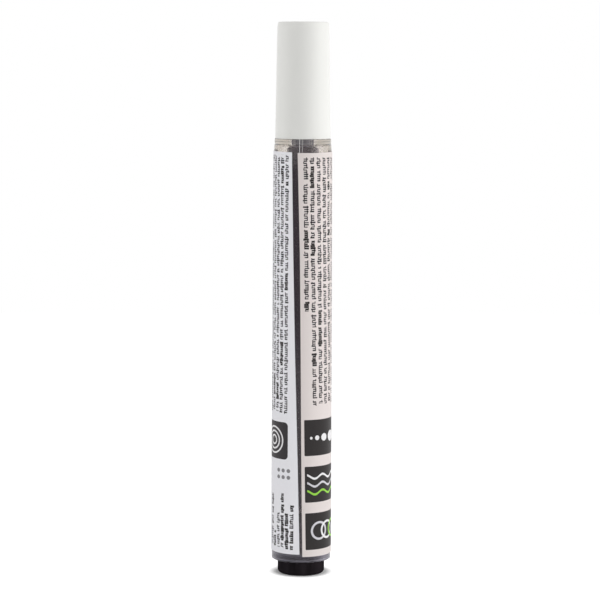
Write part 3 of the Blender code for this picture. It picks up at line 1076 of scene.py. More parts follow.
def print_warm_sheet(plate: Plate) -> None:
    """Print the warm label: rows of marks above three dark tiles with plain figures.

    Args:
        plate: The sheet.
    """
    ends = (67.2, 43.5, 44.0, 43.8, 44.1, 43.6, 45.2, 44.4)
    rows = MarkRows(first=1.85, pitch=1.75, starts=(105.3,) * len(ends), ends=ends)
    plate.set_rows(rows, INK_GREY, INK_BLACK)
    near, far, corner, margin = 0.85, 13.4, 0.25, 0.6
    tiles = ((30.9, 40.0), (19.1, 28.2), (7.05, 16.4))
    for low, high in tiles:
        plate.ink(plate.panel((near, low), (far, high), corner), INK_BLACK)
    dots = ((2.6, 0.35), (4.2, 0.6), (6.4, 0.95), (9.4, 1.4))
    for across, radius in dots:
        plate.ink(plate.dot(across, up=35.4, radius=radius), INK_WHITE)
    band = plate.between(plate.across, near + margin, far - margin)
    for up, colour in ((25.6, INK_WHITE), (23.6, INK_PALE), (21.6, INK_GREEN)):
        line = plate.wave(up, swing=0.5, length=4.6, width=0.55)
        plate.ink(plate.math("MULTIPLY", line, band), colour)
    for across, colour in ((4.6, INK_PALE), (7.4, INK_WHITE), (10.2, INK_GREEN)):
        plate.ink(plate.ring(across, up=11.8, radius=2.1, width=0.55), colour)


def print_cool_sheet(plate: Plate) -> None:
    """Print the cool label: rows of marks, a dark panel with plain figures and a smaller block of rows.

    Args:
        plate: The sheet.
    """
    ends = (41.3, 41.5, 41.8, 42.0, 41.6, 43.1, 42.4)
    starts = (105.85,) * len(ends)
    rows = MarkRows(first=4.0, pitch=1.42, starts=starts, ends=ends, height=1.12, seed=3.0)
    plate.set_rows(rows, INK_GREY, INK_BLACK)
    plate.ink(plate.panel(low=(3.4, 29.8), high=(13.6, 39.2), corner=1.0), INK_GREY)
    for radius in (1.1, 2.2, 3.3):
        plate.ink(plate.ring(8.2, 34.5, radius, width=0.4), INK_WHITE)
    for column in range(3):
        for line in range(2):
            dot = plate.dot(3.2 + 1.5 * column, 25.3 + 1.7 * line, radius=0.5)
            plate.ink(dot, INK_GREY, density=0.75)
    starts = (18.4, 16.6, 21.2, 16.2, 11.4, 20.7)
    ends = (7.0, 7.1, 7.4, 7.4, 7.4, 7.8)
    rows = MarkRows(2.25, 1.32, starts, ends, height=1.12, heavy_share=0.85, seed=11.0)
    plate.set_rows(rows, INK_GREY, INK_BLACK)


@dataclass(frozen=True)
class Finishes:
    """Every material of the marker."""

    cap: MouldedPlastic = MouldedPlastic("cap_white", (0.80, 0.80, 0.772), (0.772, 0.772, 0.744))
    liner: MouldedPlastic = MouldedPlastic("liner_natural", (0.80, 0.79, 0.76), (0.74, 0.73, 0.70))
    # The foot's wide spread between colour and shade, with no shine, draws soft vertical streaks:
    # painted reflections in place of real ones.
    valve: MouldedPlastic = MouldedPlastic(
        "valve_black",
        (0.034, 0.028, 0.033),
        (0.001, 0.001, 0.001),
        roughness=(0.16, 0.26),
        grain=0.002 * MM,
        shine=0.0,
        dust=0.06,
    )
    pin: MouldedPlastic = MouldedPlastic("pin_grey", (0.36, 0.36, 0.37), (0.31, 0.31, 0.32))
    cage: MouldedPlastic = MouldedPlastic("cage_natural", (0.72, 0.70, 0.66), (0.66, 0.64, 0.60))
    seal: MouldedPlastic = MouldedPlastic(
        "seal_rubber",
        (0.022, 0.022, 0.023),
        (0.014, 0.014, 0.015),
        roughness=(0.55, 0.75),
        grain=0.008 * MM,
        shine=0.4,
    )
    barrel: ClearPlastic = ClearPlastic(
        "barrel_clear",
        clarity=1.0,
        gloss=(0.5, 0.4, 0.48),
        painted_haze=BARREL_PAINTED_HAZE,
        dry_tint=(0.88, 0.85, 0.98),
    )
    front: ClearPlastic = ClearPlastic("front_clear", clarity=0.98, gloss=(0.4, 0.4, 0.42))
    nib: Fibre = Fibre(
        "nib_felt",
        (0.28, 0.28, 0.345),
        (0.46, 0.46, 0.56),
        thickness=0.09 * MM,
        roughness=(0.75, 0.95),
        depth=0.02 * MM,
        stain=(0.045, 0.040, 0.050),
    )
    rod: Fibre = Fibre(
        "rod_fibre",
        (0.020, 0.017, 0.020),
        (0.055, 0.048, 0.055),
        thickness=0.16 * MM,
        roughness=(0.7, 0.9),
        depth=0.03 * MM,
    )
    wrap: Fibre = Fibre(
        "wrap_film",
        (0.036, 0.024, 0.035),
        (0.041, 0.028, 0.039),
        thickness=0.5 * MM,
        roughness=(0.4, 0.55),
        depth=0.001 * MM,
        shine=0.05,
    )
    spring: SpringWire = SpringWire("spring_steel", (0.62, 0.62, 0.63))


def dress(piece: Piece, material: Material, body: Body, node: str) -> Piece:
    """Give a piece its finish and let it stand for a solid of the frame.

    Args:
        piece: The finished mesh.
        material: Its material.
        body: The body that carries it.
        node: The solid it stands for, which is hidden in its place.

    Returns:
        The same object.
    """
    piece.data.materials.clear()
    piece.data.materials.append(material)
    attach(piece, body.value)
    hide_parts(node)
    LOG.info("%s: %d faces, rides on %s", piece.name, len(piece.data.polygons), body.value)
    return piece


@dataclass
class Cap:
    """White push-on cap and the sealing cup inside it."""

    finishes: Finishes
    shoulder_radius: float = 6.49 * MM
    shoulder_curve: float = 15.0 * MM
    shoulder_angle: float = 8.4
    shoulder_rings: int = 5
    end_round: float = 0.4 * MM
    end_thickness: float = 1.5 * MM
    mouth_radius: float = 6.02 * MM
    mouth_length: float = 7.8 * MM
    mouth_round: float = 0.22 * MM
    rim_drop: float = 0.07 * MM
    rim_round: float = 0.07 * MM
    groove_level: float = 4.9 * MM
    groove_half_width: float = 0.6 * MM
    groove_depth: float = 0.13 * MM
    bore_radius: float = 5.45 * MM
    rib_count: int = 6
    rib_height: float = 0.35 * MM
    cup_bore_radius: float = 4.35 * MM
    cup_end_thickness: float = 0.8 * MM
    cup_round: float = 0.3 * MM

    def build(self) -> None:
        """Model and dress both pieces."""
        dress(self.shell(), self.finishes.cap.material(), Body.CAP, "cap_shell")
        dress(self.cup(), self.finishes.liner.material(), Body.CAP, "inner_cap")

    def shell(self) -> Piece:
        """Turn the cap, then raise the ribs that grip the cup.

        Returns:
            The finished object.
        """
        low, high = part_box("cap_shell")
        rim, end, rim_radius = low.z - self.rim_drop, high.z, high.x
        floor = end - self.end_thickness
        groove = rim + self.groove_level
        mouth_end = rim + self.mouth_length
        rib_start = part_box("inner_cap")[0].z
        outline = [
            Station(self.bore_radius, floor, self.mouth_round),
            Station(self.bore_radius, rib_start),
            Station(self.bore_radius, mouth_end + self.mouth_radius - self.bore_radius),
            Station(self.mouth_radius, mouth_end),
            Station(self.mouth_radius, groove + self.groove_half_width),
            Station(self.mouth_radius + self.groove_depth, groove, self.groove_half_width / 2),
            Station(self.mouth_radius, groove - self.groove_half_width),
            Station(self.mouth_radius, rim, self.mouth_round),
            Station(rim_radius, rim, self.rim_round),
            *self.end_curve(end),
        ]
        lathe = Lathe(bevel_segments=6)
        piece = lathe.rough("cap_moulding", outline, Ends.CAPPED)

        def on_rib(middle: Vector) -> bool:
            """Tell whether a face of the bore rises as a rib."""
            inside = abs(middle.xy.length - self.bore_radius) < self.rib_height
            return (
                inside
                and rib_start < middle.z < floor - self.end_round
                and sector(middle, lathe.steps, self.rib_count)
            )

        select(piece, Pick.FACES, on_rib)
        rise = {"value": self.rib_height}
        bpy.ops.mesh.extrude_region_shrink_fatten(TRANSFORM_OT_shrink_fatten=rise)
        return finish_shape(piece)

    def end_curve(self, end: float) -> list[Station]:
        """Lay the soft shoulder and the rounded corner of the closed end.

        Args:
            end: Height of the end face.

        Returns:
            The rings from the shoulder to the end face.
        """
        inner_curve = self.shoulder_curve - self.end_round
        last = math.radians(self.shoulder_angle)
        middle = self.shoulder_radius - self.shoulder_curve
        start = end - self.end_round - inner_curve * math.sin(last)
        rings = []
        for ring in range(self.shoulder_rings + 1):
            turn = last * ring / self.shoulder_rings
            radius = middle + self.shoulder_curve * math.cos(turn)
            rings.append(Station(radius, start + self.shoulder_curve * math.sin(turn)))
        corner = middle + inner_curve * math.cos(last)
        for ring in range(1, self.shoulder_rings + 1):
            turn = last + (math.pi / 2 - last) * ring / self.shoulder_rings
            radius = corner + self.end_round * math.cos(turn)
            rings.append(Station(radius, end - self.end_round * (1 - math.sin(turn))))
        return rings

    def cup(self) -> Piece:
        """Turn the thimble that closes on the nose.

        Returns:
            The finished object.
        """
        low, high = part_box("inner_cap")
        floor = high.z - self.cup_end_thickness
        outline = [
            Station(self.cup_bore_radius, floor, self.cup_round),
            Station(self.cup_bore_radius, low.z, self.cup_round / 3),
            Station(high.x, low.z, self.cup_round),
            Station(high.x, high.z, self.cup_round),
        ]
        return Lathe().turn("cap_seal_cup", outline, Ends.CAPPED)


@dataclass
class FrontSection:
    """Clear collar, cap seat with its snap bead, nose and the plug that closes the barrel."""

    finishes: Finishes
    collar_height: float = 1.3 * MM
    collar_round: float = 0.12 * MM
    collar_groove_level: float = 0.67 * MM
    collar_groove_depth: float = 0.04 * MM
    seat_radius: float = 5.75 * MM
    seat_length: float = 7.1 * MM
    bead_level: float = 4.9 * MM
    bead_height: float = 0.17 * MM
    bead_half_width: float = 0.6 * MM
    nose_base_radius: float = 4.9 * MM
    nose_tip_radius: float = 3.4 * MM
    nose_tip_round: float = 0.1 * MM
    nose_step: float = 1.2 * MM
    nose_rings: int = 12
    plug_radius: float = 6.205 * MM
    skirt_radius: float = 5.5 * MM
    throat_radius: float = 4.15 * MM
    crown_below_collar: float = 0.65 * MM
    funnel_rings: int = 8
    bore_radius: float = 2.5 * MM
    vent_angles: tuple[float, ...] = (218.5, 320.0)
    vent_half_angle: float = math.radians(4)
    vent_depth: float = 0.3 * MM
    plug_length: float = 5.0 * MM

    def build(self) -> None:
        """Model and dress the section."""
        dress(self.moulding(), self.finishes.front.material(), Body.MARKER, "front_section")

    def moulding(self) -> Piece:
        """Turn the section, then sink the air vents into its bore.

        Returns:
            The finished object.
        """
        low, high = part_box("front_section")
        tip, rear, collar_radius = high.z, low.z, high.x
        collar = rear + self.plug_length
        seat = collar + self.collar_height
        seat_end = seat + self.seat_length
        bead = seat + self.bead_level
        crown = collar - self.crown_below_collar
        groove = collar + self.collar_groove_level
        nose_length = tip - seat_end - self.nose_step
        skirt = Station(self.skirt_radius, rear)
        outline = [Station(self.bore_radius, tip, self.nose_tip_round)]
        for ring in range(self.nose_rings + 1):
            share = ring / self.nose_rings
            radius = self.nose_tip_radius + (self.nose_base_radius - self.nose_tip_radius) * share**2
            rounding = 0.0 if ring else self.collar_round
            outline.append(Station(radius, tip - nose_length * share, rounding))
        outline += [
            Station(self.seat_radius, seat_end, self.collar_round),
            Station(self.seat_radius, bead + self.bead_half_width),
            Station(self.seat_radius + self.bead_height, bead, self.bead_half_width / 2),
            Station(self.seat_radius, bead - self.bead_half_width),
            Station(self.seat_radius, seat, self.collar_round),
            Station(collar_radius, seat, self.collar_round),
            Station(collar_radius, groove + self.collar_groove_depth),
            Station(collar_radius - self.collar_groove_depth, groove),
            Station(collar_radius, groove - self.collar_groove_depth),
            Station(collar_radius, collar, self.collar_round / 2),
            Station(self.plug_radius, collar),
            Station(self.plug_radius, rear, self.collar_round),
            skirt,
            *funnel(skirt, Station(self.throat_radius, crown), self.funnel_rings),
            Station(self.bore_radius, crown, self.collar_round),
        ]
        piece = Lathe().rough("clear_front", outline, Ends.JOINED)
        for angle in self.vent_angles:
            side = Matrix.Rotation(math.radians(angle), 3, "Z") @ Vector((1, 0, 0))

            def in_vent(point: Vector, side: Vector = side) -> bool:
                """Tell whether a point of the bore sinks with this vent."""
                in_bore = abs(point.xy.length - self.bore_radius) < TOUCH and crown - TOUCH < point.z
                return in_bore and point.dot(side) > self.bore_radius * math.cos(self.vent_half_angle)

            select(piece, Pick.POINTS, in_vent)
            bpy.ops.transform.translate(value=side * self.vent_depth)
        return finish_shape(piece)


@dataclass
class Barrel:
    """Clear tube with a rounded rear rim, and the two wrap labels on it."""

    finishes: Finishes
    rear_lift: float = 0.06 * MM
    rear_round: float = 0.2 * MM
    front_radius: float = 7.22 * MM
    rim_radius: float = 7.1 * MM
    rim_length: float = 1.8 * MM
    rim_round: float = 0.15 * MM
    front_bore_radius: float = 6.2 * MM
    front_bore_length: float = 5.6 * MM
    bore_radius: float = 5.975 * MM
    rear_bore_radius: float = 5.895 * MM
    rear_bore_length: float = 13.0 * MM
    label_gap: float = 0.04 * MM
    label_lift: float = 0.11 * MM
    label_dip: float = 0.13 * MM
    label_thickness: float = 0.08 * MM
    back_window: float = 4.6
    left_edge: tuple[float, ...] = (-2.8, -7.6, -13.3, -17.9, -21.6)
    right_edge: tuple[float, ...] = (2.5, -0.35, -2.35, -4.8, -10.1)
    label_columns: int = 120
    label_rows: int = 60
    low: Vector = field(init=False)
    high: Vector = field(init=False)

    def __post_init__(self) -> None:
        """Read the tube's box from the frame."""
        self.low, self.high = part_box("barrel")

    def build(self) -> None:
        """Model and dress the tube and its labels."""
        dress(self.tube(), self.finishes.barrel.material(), Body.MARKER, "barrel")
        far = 180 - self.back_window
        mean_radius = (self.high.x + self.front_radius) / 2 / MM
        # Each label's paper is lighter beside the ink window and darker round the side: painted shade.
        cool = LabelPaper(
            "cool_paper",
            paper=(0.88, 0.875, 0.912),
            shaded_paper=(0.715, 0.71, 0.742),
            base_angle=-0.55,
            lean=0.0,
            side=-1,
            radius=mean_radius,
            artwork=print_cool_sheet,
        )
        warm = LabelPaper(
            "warm_paper",
            paper=(0.755, 0.692, 0.674),
            shaded_paper=(0.69, 0.63, 0.614),
            base_angle=2.95,
            lean=-0.122,
            side=1,
            radius=mean_radius,
            artwork=print_warm_sheet,
        )
        left = self.label("cool_label", "left_label", (-far, -far), self.left_edge)
        dress(left, cool.material(), Body.MARKER, "left_label")
        right = self.label("warm_label", "right_label", self.right_edge, (far, far))
        dress(right, warm.material(), Body.MARKER, "right_label")

    def tube(self) -> Piece:
        """Turn the tube.

        Returns:
            The finished object.
        """
        low, high = self.low, self.high
        rear = low.z + self.rear_lift
        step = low.z + self.rear_bore_length
        outline = [
            Station(self.rear_bore_radius, rear, self.rim_round / 2),
            Station(high.x, rear, self.rear_round),
            Station(self.front_radius, high.z - self.rim_length),
            Station(self.rim_radius, high.z, self.rim_round),
            Station(self.front_bore_radius, high.z),
            Station(self.front_bore_radius, high.z - self.front_bore_length),
            Station(self.bore_radius, high.z - self.front_bore_length),
            Station(self.bore_radius, step + self.bore_radius - self.rear_bore_radius),
            Station(self.rear_bore_radius, step),
        ]
        return Lathe(bevel_segments=8).turn("clear_barrel", outline, Ends.JOINED)

    def outer_radius(self, height: float) -> float:
        """Give the barrel's outer radius under the labels.

        Args:
            height: Where to read it.

        Returns:
            The radius there.
        """
        start, end = self.low.z + self.rear_round, self.high.z - self.rim_length
        share = (height - start) / (end - start)
        return self.high.x + (self.front_radius - self.high.x) * share

    def label(
        self, name: str, node: str, from_edge: Sequence[float], to_edge: Sequence[float]
    ) -> Piece:
        """Roll a flat sheet round the barrel and give it its thickness.

        Args:
            name: The new piece's name.
            node: The label's solid in the frame, which gives its height.
            from_edge: Angles of the edge nearer -X from bottom to top, in degrees from -Y to +X.
            to_edge: Angles of the other edge.

        Returns:
            The finished object.
        """
        low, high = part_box(node)
        bottom = low.z + self.label_lift
        deselect_all()
        bpy.ops.mesh.primitive_grid_add(
            x_subdivisions=self.label_columns, y_subdivisions=self.label_rows, size=1.0
        )
        piece = settle(name)
        for corner in piece.data.vertices:
            across, rise = corner.co.x + 0.5, corner.co.y + 0.5
            start, end = along(from_edge, rise), along(to_edge, rise)
            angle = math.radians(start + (end - start) * across)
            top = high.z - self.label_dip * max(0.0, math.cos(angle)) ** 2
            height = bottom + (top - bottom) * rise
            radius = self.outer_radius(height) + self.label_gap
            corner.co = (radius * math.sin(angle), -radius * math.cos(angle), height)
        sheet = piece.modifiers.new("thickness", "SOLIDIFY")
        sheet.thickness = self.label_thickness
        sheet.offset = 1.0
        bpy.ops.object.modifier_apply(modifier=sheet.name)
        bpy.ops.object.shade_smooth_by_angle(angle=SMOOTH_ANGLE)
        return piece


@dataclass
class InkSupply:
    """Felt nib, fibre rod and the film wrapped round the rod."""

    finishes: Finishes
    nib_point_radius: float = 0.45 * MM
    nib_point_start: float = 30.0
    nib_point_rings: int = 6
    nib_collar: float = 0.5 * MM
    nib_swell_radius: float = 2.485 * MM
    nib_swell_below_tip: float = 0.8 * MM
    nib_end_round: float = 0.4 * MM
    rod_neck_radius: float = 5.35 * MM
    rod_neck_length: float = 4.7 * MM
    rod_throat_radius: float = 4.0 * MM
    rod_crown_round: float = 0.6 * MM
    rod_crown_drop: float = 0.15 * MM
    rod_socket_radius: float = 2.5 * MM
    socket_gap: float = 0.12 * MM
    funnel_rings: int = 8
    wrap_thickness: float = 0.12 * MM

    def build(self) -> None:
        """Model and dress the three pieces."""
        dress(self.nib(), self.finishes.nib.material(), Body.MARKER, "nib")
        dress(self.rod(), self.finishes.rod.material(), Body.MARKER, "ink_reservoir")
        dress(self.wrap(), self.finishes.wrap.material(), Body.MARKER, "reservoir_wrap")

    def nib(self) -> Piece:
        """Turn the felt rod, swollen to fill its bore, and its rounded cone point.

        Returns:
            The finished object.
        """
        low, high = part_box("nib")
        nose_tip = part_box("front_section")[1].z
        swell_end = nose_tip - self.nib_swell_below_tip
        outline = [
            Station(self.nib_swell_radius, low.z, self.nib_end_round),
            Station(self.nib_swell_radius, swell_end, self.nib_end_round),
            Station(high.x, swell_end + self.nib_end_round),
            Station(high.x, nose_tip + self.nib_collar, self.nib_end_round),
        ]
        for ring in range(self.nib_point_rings):
            rest = 90 - self.nib_point_start
            turn = math.radians(self.nib_point_start + rest * ring / self.nib_point_rings)
            radius = self.nib_point_radius * math.cos(turn)
            outline.append(Station(radius, high.z - self.nib_point_radius * (1 - math.sin(turn))))
        return Lathe(steps=SMALL_STEPS).turn("felt_nib", outline, Ends.CAPPED)

    def rod(self) -> Piece:
        """Turn the fibre rod with its domed neck and the socket for the nib.

        Returns:
            The finished object.
        """
        low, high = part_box("ink_reservoir")
        socket_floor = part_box("nib")[0].z - self.socket_gap
        neck = high.z - self.rod_neck_length
        crown = high.z - self.rod_crown_drop
        shoulder = Station(self.rod_neck_radius, neck)
        throat = Station(self.rod_throat_radius, crown - self.rod_crown_round)
        outline = [
            Station(high.x, low.z, self.nib_end_round),
            Station(high.x, neck - high.x + self.rod_neck_radius),
            shoulder,
            *funnel(shoulder, throat, self.funnel_rings),
            Station(self.rod_throat_radius - self.rod_crown_round / 3, crown - self.rod_crown_round / 3),
            Station(self.rod_throat_radius - self.rod_crown_round, crown),
            Station(self.rod_socket_radius, crown),
            Station(self.rod_socket_radius, socket_floor),
        ]
        return Lathe().turn("fibre_rod", outline, Ends.CAPPED)

    def wrap(self) -> Piece:
        """Turn the film sleeve.

        Returns:
            The finished object.
        """
        low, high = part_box("reservoir_wrap")
        inner = high.x - self.wrap_thickness
        outline = [
            Station(inner, low.z),
            Station(high.x, low.z),
            Station(high.x, high.z),
            Station(inner, high.z),
        ]
        return Lathe().turn("film_sleeve", outline, Ends.JOINED)


@dataclass
class FillerValve:
    """Black foot with the dropper mouth, and the sprung pin that shuts it."""

    finishes: Finishes
    foot_round: float = 0.7 * MM
    mouth_radius: float = 3.1 * MM
    mouth_chamfer: float = 0.4 * MM
    mouth_depth: float = 6.4 * MM
    throat_radius: float = 1.7 * MM
    throat_length: float = 1.0 * MM
    cone_radius: float = 2.6 * MM
    cone_height: float = 0.7 * MM
    chamber_radius: float = 4.3 * MM
    groove_radius: float = 5.6 * MM
    groove_width: float = 0.9 * MM
    groove_levels: tuple[float, ...] = (8.0 * MM, 10.6 * MM, 13.2 * MM)
    edge_round: float = 0.12 * MM
    pin_radius: float = 1.05 * MM
    pin_round: float = 0.5 * MM
    neck_radius: float = 1.7 * MM
    head_height: float = 0.9 * MM
    post_radius: float = 1.2 * MM
    seat_gap: float = 0.1 * MM
    cage_hole_radius: float = 1.4 * MM
    cage_hub_radius: float = 2.7 * MM
    cage_ring_radius: float = 3.5 * MM
    cage_spokes: int = 4
    spring_radius: float = 2.2 * MM
    spring_wire_radius: float = 0.18 * MM
    spring_coils: int = 5
    coil_steps: int = 36
    wire_steps: int = 12
    seal_steps: int = 20
    push_travel: float = field(init=False)

    def __post_init__(self) -> None:
        """Read the pin's travel from its joint."""
        joint = next(j for j in frame["joints"] if j["name"] == "valve_push")
        self.push_travel = joint["range_m"][1]

    def build(self) -> None:
        """Model and dress the five pieces."""
        dress(self.foot(), self.finishes.valve.material(), Body.MARKER, "valve_body")
        dress(self.pin(), self.finishes.pin.material(), Body.VALVE, "valve_stem")
        dress(self.seal(), self.finishes.seal.material(), Body.VALVE, "valve_seal")
        dress(self.cage(), self.finishes.cage.material(), Body.MARKER, "valve_cage")
        spring = dress(self.spring(), self.finishes.spring.material(), Body.MARKER, "valve_spring")
        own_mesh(spring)

    def foot(self) -> Piece:
        """Turn the foot, its grooved shank, mouth, throat and spring chamber.

        Returns:
            The finished object.
        """
        low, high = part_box("valve_body")
        floor = low.z + self.mouth_depth + self.throat_length + self.cone_height
        outline = [
            Station(self.mouth_radius + self.mouth_chamfer, low.z, self.edge_round),
            Station(high.x, low.z, self.foot_round),
        ]
        for level in self.groove_levels:
            outline += [
                Station(high.x, level - self.groove_width / 2, self.edge_round),
                Station(self.groove_radius, level - self.groove_width / 2),
                Station(self.groove_radius, level + self.groove_width / 2),
                Station(high.x, level + self.groove_width / 2, self.edge_round),
            ]
        outline += [
            Station(high.x, high.z, self.edge_round),
            Station(self.chamber_radius, high.z, self.edge_round),
            Station(self.chamber_radius, floor),
            Station(self.cone_radius, floor),
            Station(self.throat_radius, floor - self.cone_height),
            Station(self.throat_radius, low.z + self.mouth_depth, self.edge_round),
            Station(self.mouth_radius, low.z + self.mouth_depth, self.edge_round),
            Station(self.mouth_radius, low.z + self.mouth_chamfer),
        ]
        return Lathe(bevel_segments=6).turn("filler_foot", outline, Ends.JOINED)

    def pin(self) -> Piece:
        """Turn the pin with its seal neck, spring head and guide post.

        Returns:
            The finished object.
        """
        low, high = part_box("valve_stem")
        seal_low, seal_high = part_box("valve_seal")
        neck = seal_low.z - self.seat_gap
        head = seal_high.z + self.seat_gap
        outline = [
            Station(self.pin_radius, low.z, self.pin_round),
            Station(self.pin_radius, neck - self.cone_height),
            Station(self.neck_radius, neck),
            Station(self.neck_radius, head),
            Station(high.x, head, self.edge_round),
            Station(high.x, head + self.head_height, self.edge_round),
            Station(self.post_radius, head + self.head_height),
            Station(self.post_radius, high.z, self.pin_round),
        ]
        return Lathe(steps=SMALL_STEPS).turn("filler_pin", outline, Ends.CAPPED)

    def seal(self) -> Piece:
        """Make the rubber ring.

        Returns:
            The finished object.
        """
        low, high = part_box("valve_seal")
        wire = (high.z - low.z) / 2
        deselect_all()
        bpy.ops.mesh.primitive_torus_add(
            major_segments=SMALL_STEPS,
            minor_segments=self.seal_steps,
            major_radius=high.x - wire,
            minor_radius=wire,
            location=(0, 0, low.z + wire),
        )
        piece = settle("seal_ring")
        edit_all()
        return finish_shape(piece)

    def cage(self) -> Piece:
        """Spread a flat ring, open its windows, and raise it to its height.

        Returns:
            The finished object.
        """
        low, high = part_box("valve_cage")
        deselect_all()
        bpy.ops.mesh.primitive_circle_add(
            vertices=SMALL_STEPS, radius=self.cage_hole_radius, location=(0, 0, low.z)
        )
        piece = settle("spring_cage")
        edit_all()
        radius = self.cage_hole_radius
        for wider in (self.cage_hub_radius, self.cage_ring_radius, high.x):
            bpy.ops.mesh.extrude_region_move()
            growth = wider / radius
            bpy.ops.transform.resize(value=(growth, growth, 1), center_override=(0, 0, low.z))
            radius = wider
        spoke_steps = SMALL_STEPS // (4 * self.cage_spokes)
        turns = [Matrix.Rotation(-math.tau * step / SMALL_STEPS, 3, "Z") for step in range(spoke_steps)]

        def in_window(middle: Vector) -> bool:
            """Tell whether a face lies between hub and ring, clear of the spokes."""
            between = self.cage_hub_radius < middle.xy.length < self.cage_ring_radius
            return between and not any(
                sector(turn @ middle, SMALL_STEPS, self.cage_spokes) for turn in turns
            )

        select(piece, Pick.FACES, in_window)
        bpy.ops.mesh.delete(type="ONLY_FACE")
        bpy.ops.mesh.select_all(action="SELECT")
        bpy.ops.mesh.extrude_region_move(TRANSFORM_OT_translate={"value": (0, 0, high.z - low.z)})
        return finish_shape(piece)

    def spring(self) -> Piece:
        """Sweep a wire round a helix with a Screw modifier, and close its ends.

        Returns:
            The finished object.
        """
        low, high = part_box("valve_spring")
        rise = high.z - low.z - 2 * self.spring_wire_radius
        deselect_all()
        bpy.ops.mesh.primitive_circle_add(
            vertices=self.wire_steps,
            radius=self.spring_wire_radius,
            location=(self.spring_radius, 0, low.z + self.spring_wire_radius),
            rotation=(math.pi / 2, 0, 0),
        )
        piece = settle("return_spring")
        winding = piece.modifiers.new("winding", "SCREW")
        winding.steps = winding.render_steps = self.coil_steps
        winding.iterations = self.spring_coils
        winding.screw_offset = rise / self.spring_coils
        bpy.ops.object.modifier_apply(modifier=winding.name)
        edit_all()
        bpy.ops.mesh.fill_holes(sides=0)
        return finish_shape(piece)


@dataclass(frozen=True)
class Softbox:
    """One lamp that faces the marker.

    Attributes:
        name: The lamp's name.
        place: Where it hangs.
        size: Its width and height.
        power: Its power in watts.
    """

    name: str
    place: tuple[float, float, float]
    size: tuple[float, float]
    power: float


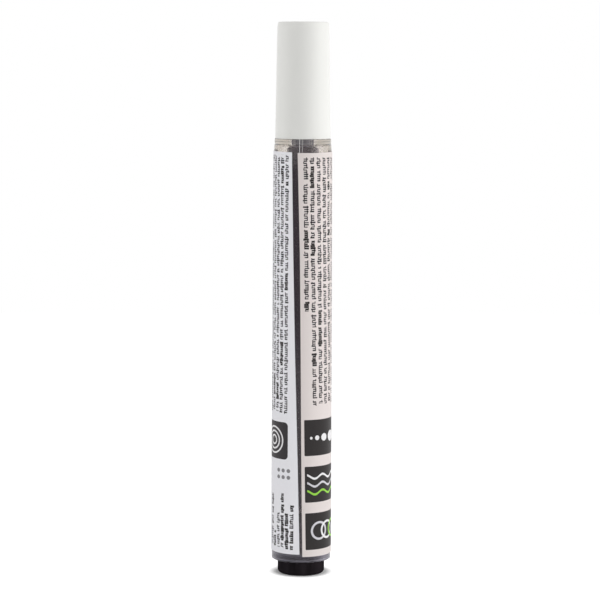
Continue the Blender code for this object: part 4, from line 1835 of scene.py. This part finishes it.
@dataclass
class Studio:
    """Pale floor, soft lamps and the camera."""

    camera_distance: float = 540 * MM
    camera_height: float = 126.7 * MM
    camera_aside: float = -0.54 * MM
    tilt: float = 6.07
    roll: float = 0.27
    focal_length: float = 129.84
    sensor_width: float = 36.0
    floor_radius: float = 0.6
    # Floor glow by distance from the axis: it drops to nothing near the foot, a painted contact shadow,
    # and further out it lifts the floor's broad shade to white.
    glow_and_painted_shadow: Curve = (
        (6.3 * MM, 0.0),
        (7.2 * MM, 0.30),
        (7.7 * MM, 0.46),
        (8.7 * MM, 0.70),
        (12 * MM, 0.58),
        (25 * MM, 0.46),
        (80 * MM, 0.38),
        (600 * MM, 0.50),
    )
    floor_colour: Colour = (0.90, 0.90, 0.90)
    floor_roughness: float = 0.9
    room_light: float = 0.55
    softboxes: tuple[Softbox, ...] = (
        Softbox("right_softbox", (0.55, -0.16, 0.24), (0.5, 0.7), 2.68),
        Softbox("left_softbox", (-0.55, -0.05, 0.24), (0.4, 0.7), 1.24),
    )
    aim: tuple[float, float, float] = (0.0, 0.0, 0.07)

    def build(self) -> None:
        """Set the stage."""
        bpy.context.scene.view_settings.view_transform = "Standard"
        self.floor()
        self.world()
        for box in self.softboxes:
            self.lamp(box)
        self.camera()

    def background_rays(self, tree: bpy.types.NodeTree) -> Socket:
        """Tell rays that show the background from those that light the object.

        Args:
            tree: The node tree to add to.

        Returns:
            1 for camera, glossy and transmission rays, and 0 for the rest.
        """
        path = tree.nodes.new("ShaderNodeLightPath")
        shown = path.outputs["Is Camera Ray"]
        for name in ("Is Glossy Ray", "Is Transmission Ray"):
            either = tree.nodes.new("ShaderNodeMath")
            either.operation = "MAXIMUM"
            tree.links.new(shown, either.inputs[0])
            tree.links.new(path.outputs[name], either.inputs[1])
            shown = either.outputs[0]
        return shown

    def floor(self) -> None:
        """Lay a pale round floor that shows white and keeps the marker's shadow; its glow fades to
        nothing near the foot, which paints a contact shadow there.
        """
        deselect_all()
        bpy.ops.mesh.primitive_circle_add(
            vertices=SMALL_STEPS, radius=self.floor_radius, fill_type="NGON"
        )
        ground = bpy.context.object
        ground.name = "floor"
        wiring = Wiring("floor_pale")
        wiring.fix(Base_Color=self.floor_colour, Roughness=self.floor_roughness, Specular_IOR_Level=0.0)
        away = wiring.add("ShaderNodeVectorMath", operation="LENGTH")
        wiring.feed(away.inputs[0], wiring.place)
        # The glow paints the contact shadow at the foot and lifts the floor's shade elsewhere.
        level = wiring.ramp(away.outputs["Value"], self.glow_and_painted_shadow)
        shown = self.background_rays(wiring.tree)
        glow_and_painted_shadow = wiring.add("ShaderNodeEmission")
        wiring.feed(glow_and_painted_shadow.inputs["Strength"], wiring.math("MULTIPLY", level, shown))
        lift = wiring.add("ShaderNodeAddShader")
        wiring.feed(lift.inputs[0], wiring.surface.outputs[0])
        wiring.feed(lift.inputs[1], glow_and_painted_shadow.outputs[0])
        wiring.feed(wiring.output.inputs["Surface"], lift.outputs[0])
        ground.data.materials.append(wiring.material)

    def world(self) -> None:
        """Light the room evenly, and show it white."""
        world = bpy.data.worlds.new("room")
        world.use_nodes = True
        bpy.context.scene.world = world
        tree = world.node_tree
        light = tree.nodes["Background"]
        light.inputs["Color"].default_value = (1, 1, 1, 1)
        strength = tree.nodes.new("ShaderNodeMapRange")
        strength.inputs["To Min"].default_value = self.room_light
        strength.inputs["To Max"].default_value = 1.0
        tree.links.new(self.background_rays(tree), strength.inputs["Value"])
        tree.links.new(strength.outputs["Result"], light.inputs["Strength"])

    def lamp(self, box: Softbox) -> None:
        """Hang one softbox that faces the marker.

        Args:
            box: The lamp's place, size and power.
        """
        light = bpy.data.lights.new(box.name, "AREA")
        light.shape = "RECTANGLE"
        light.size, light.size_y = box.size
        light.energy = box.power
        lamp = bpy.data.objects.new(box.name, light)
        bpy.context.scene.collection.objects.link(lamp)
        lamp.location = box.place
        away = Vector(box.place) - Vector(self.aim)
        lamp.rotation_euler = away.to_track_quat("Z", "Y").to_euler()
        lamp.visible_glossy = False

    def camera(self) -> None:
        """Set the camera as the photograph's was."""
        lens = bpy.data.cameras.new("camera")
        lens.lens = self.focal_length
        lens.sensor_width = self.sensor_width
        camera = bpy.data.objects.new("camera", lens)
        bpy.context.scene.collection.objects.link(camera)
        look = Matrix.Rotation(math.radians(90 - self.tilt), 4, "X")
        turn = Matrix.Rotation(math.radians(self.roll), 4, "Z")
        place = Matrix.Translation((self.camera_aside, -self.camera_distance, self.camera_height))
        camera.matrix_world = place @ look @ turn
        bpy.context.scene.camera = camera


def main() -> None:
    """Build the studio and dress the marker from cap to foot."""
    logging.basicConfig(level=logging.INFO, format="%(name)s: %(message)s")
    Studio().build()
    finishes = Finishes()
    for part in (Cap, FrontSection, Barrel, InkSupply, FillerValve):
        LOG.info("building %s", part.__name__)
        part(finishes).build()


if __name__ == "__main__":
    main()
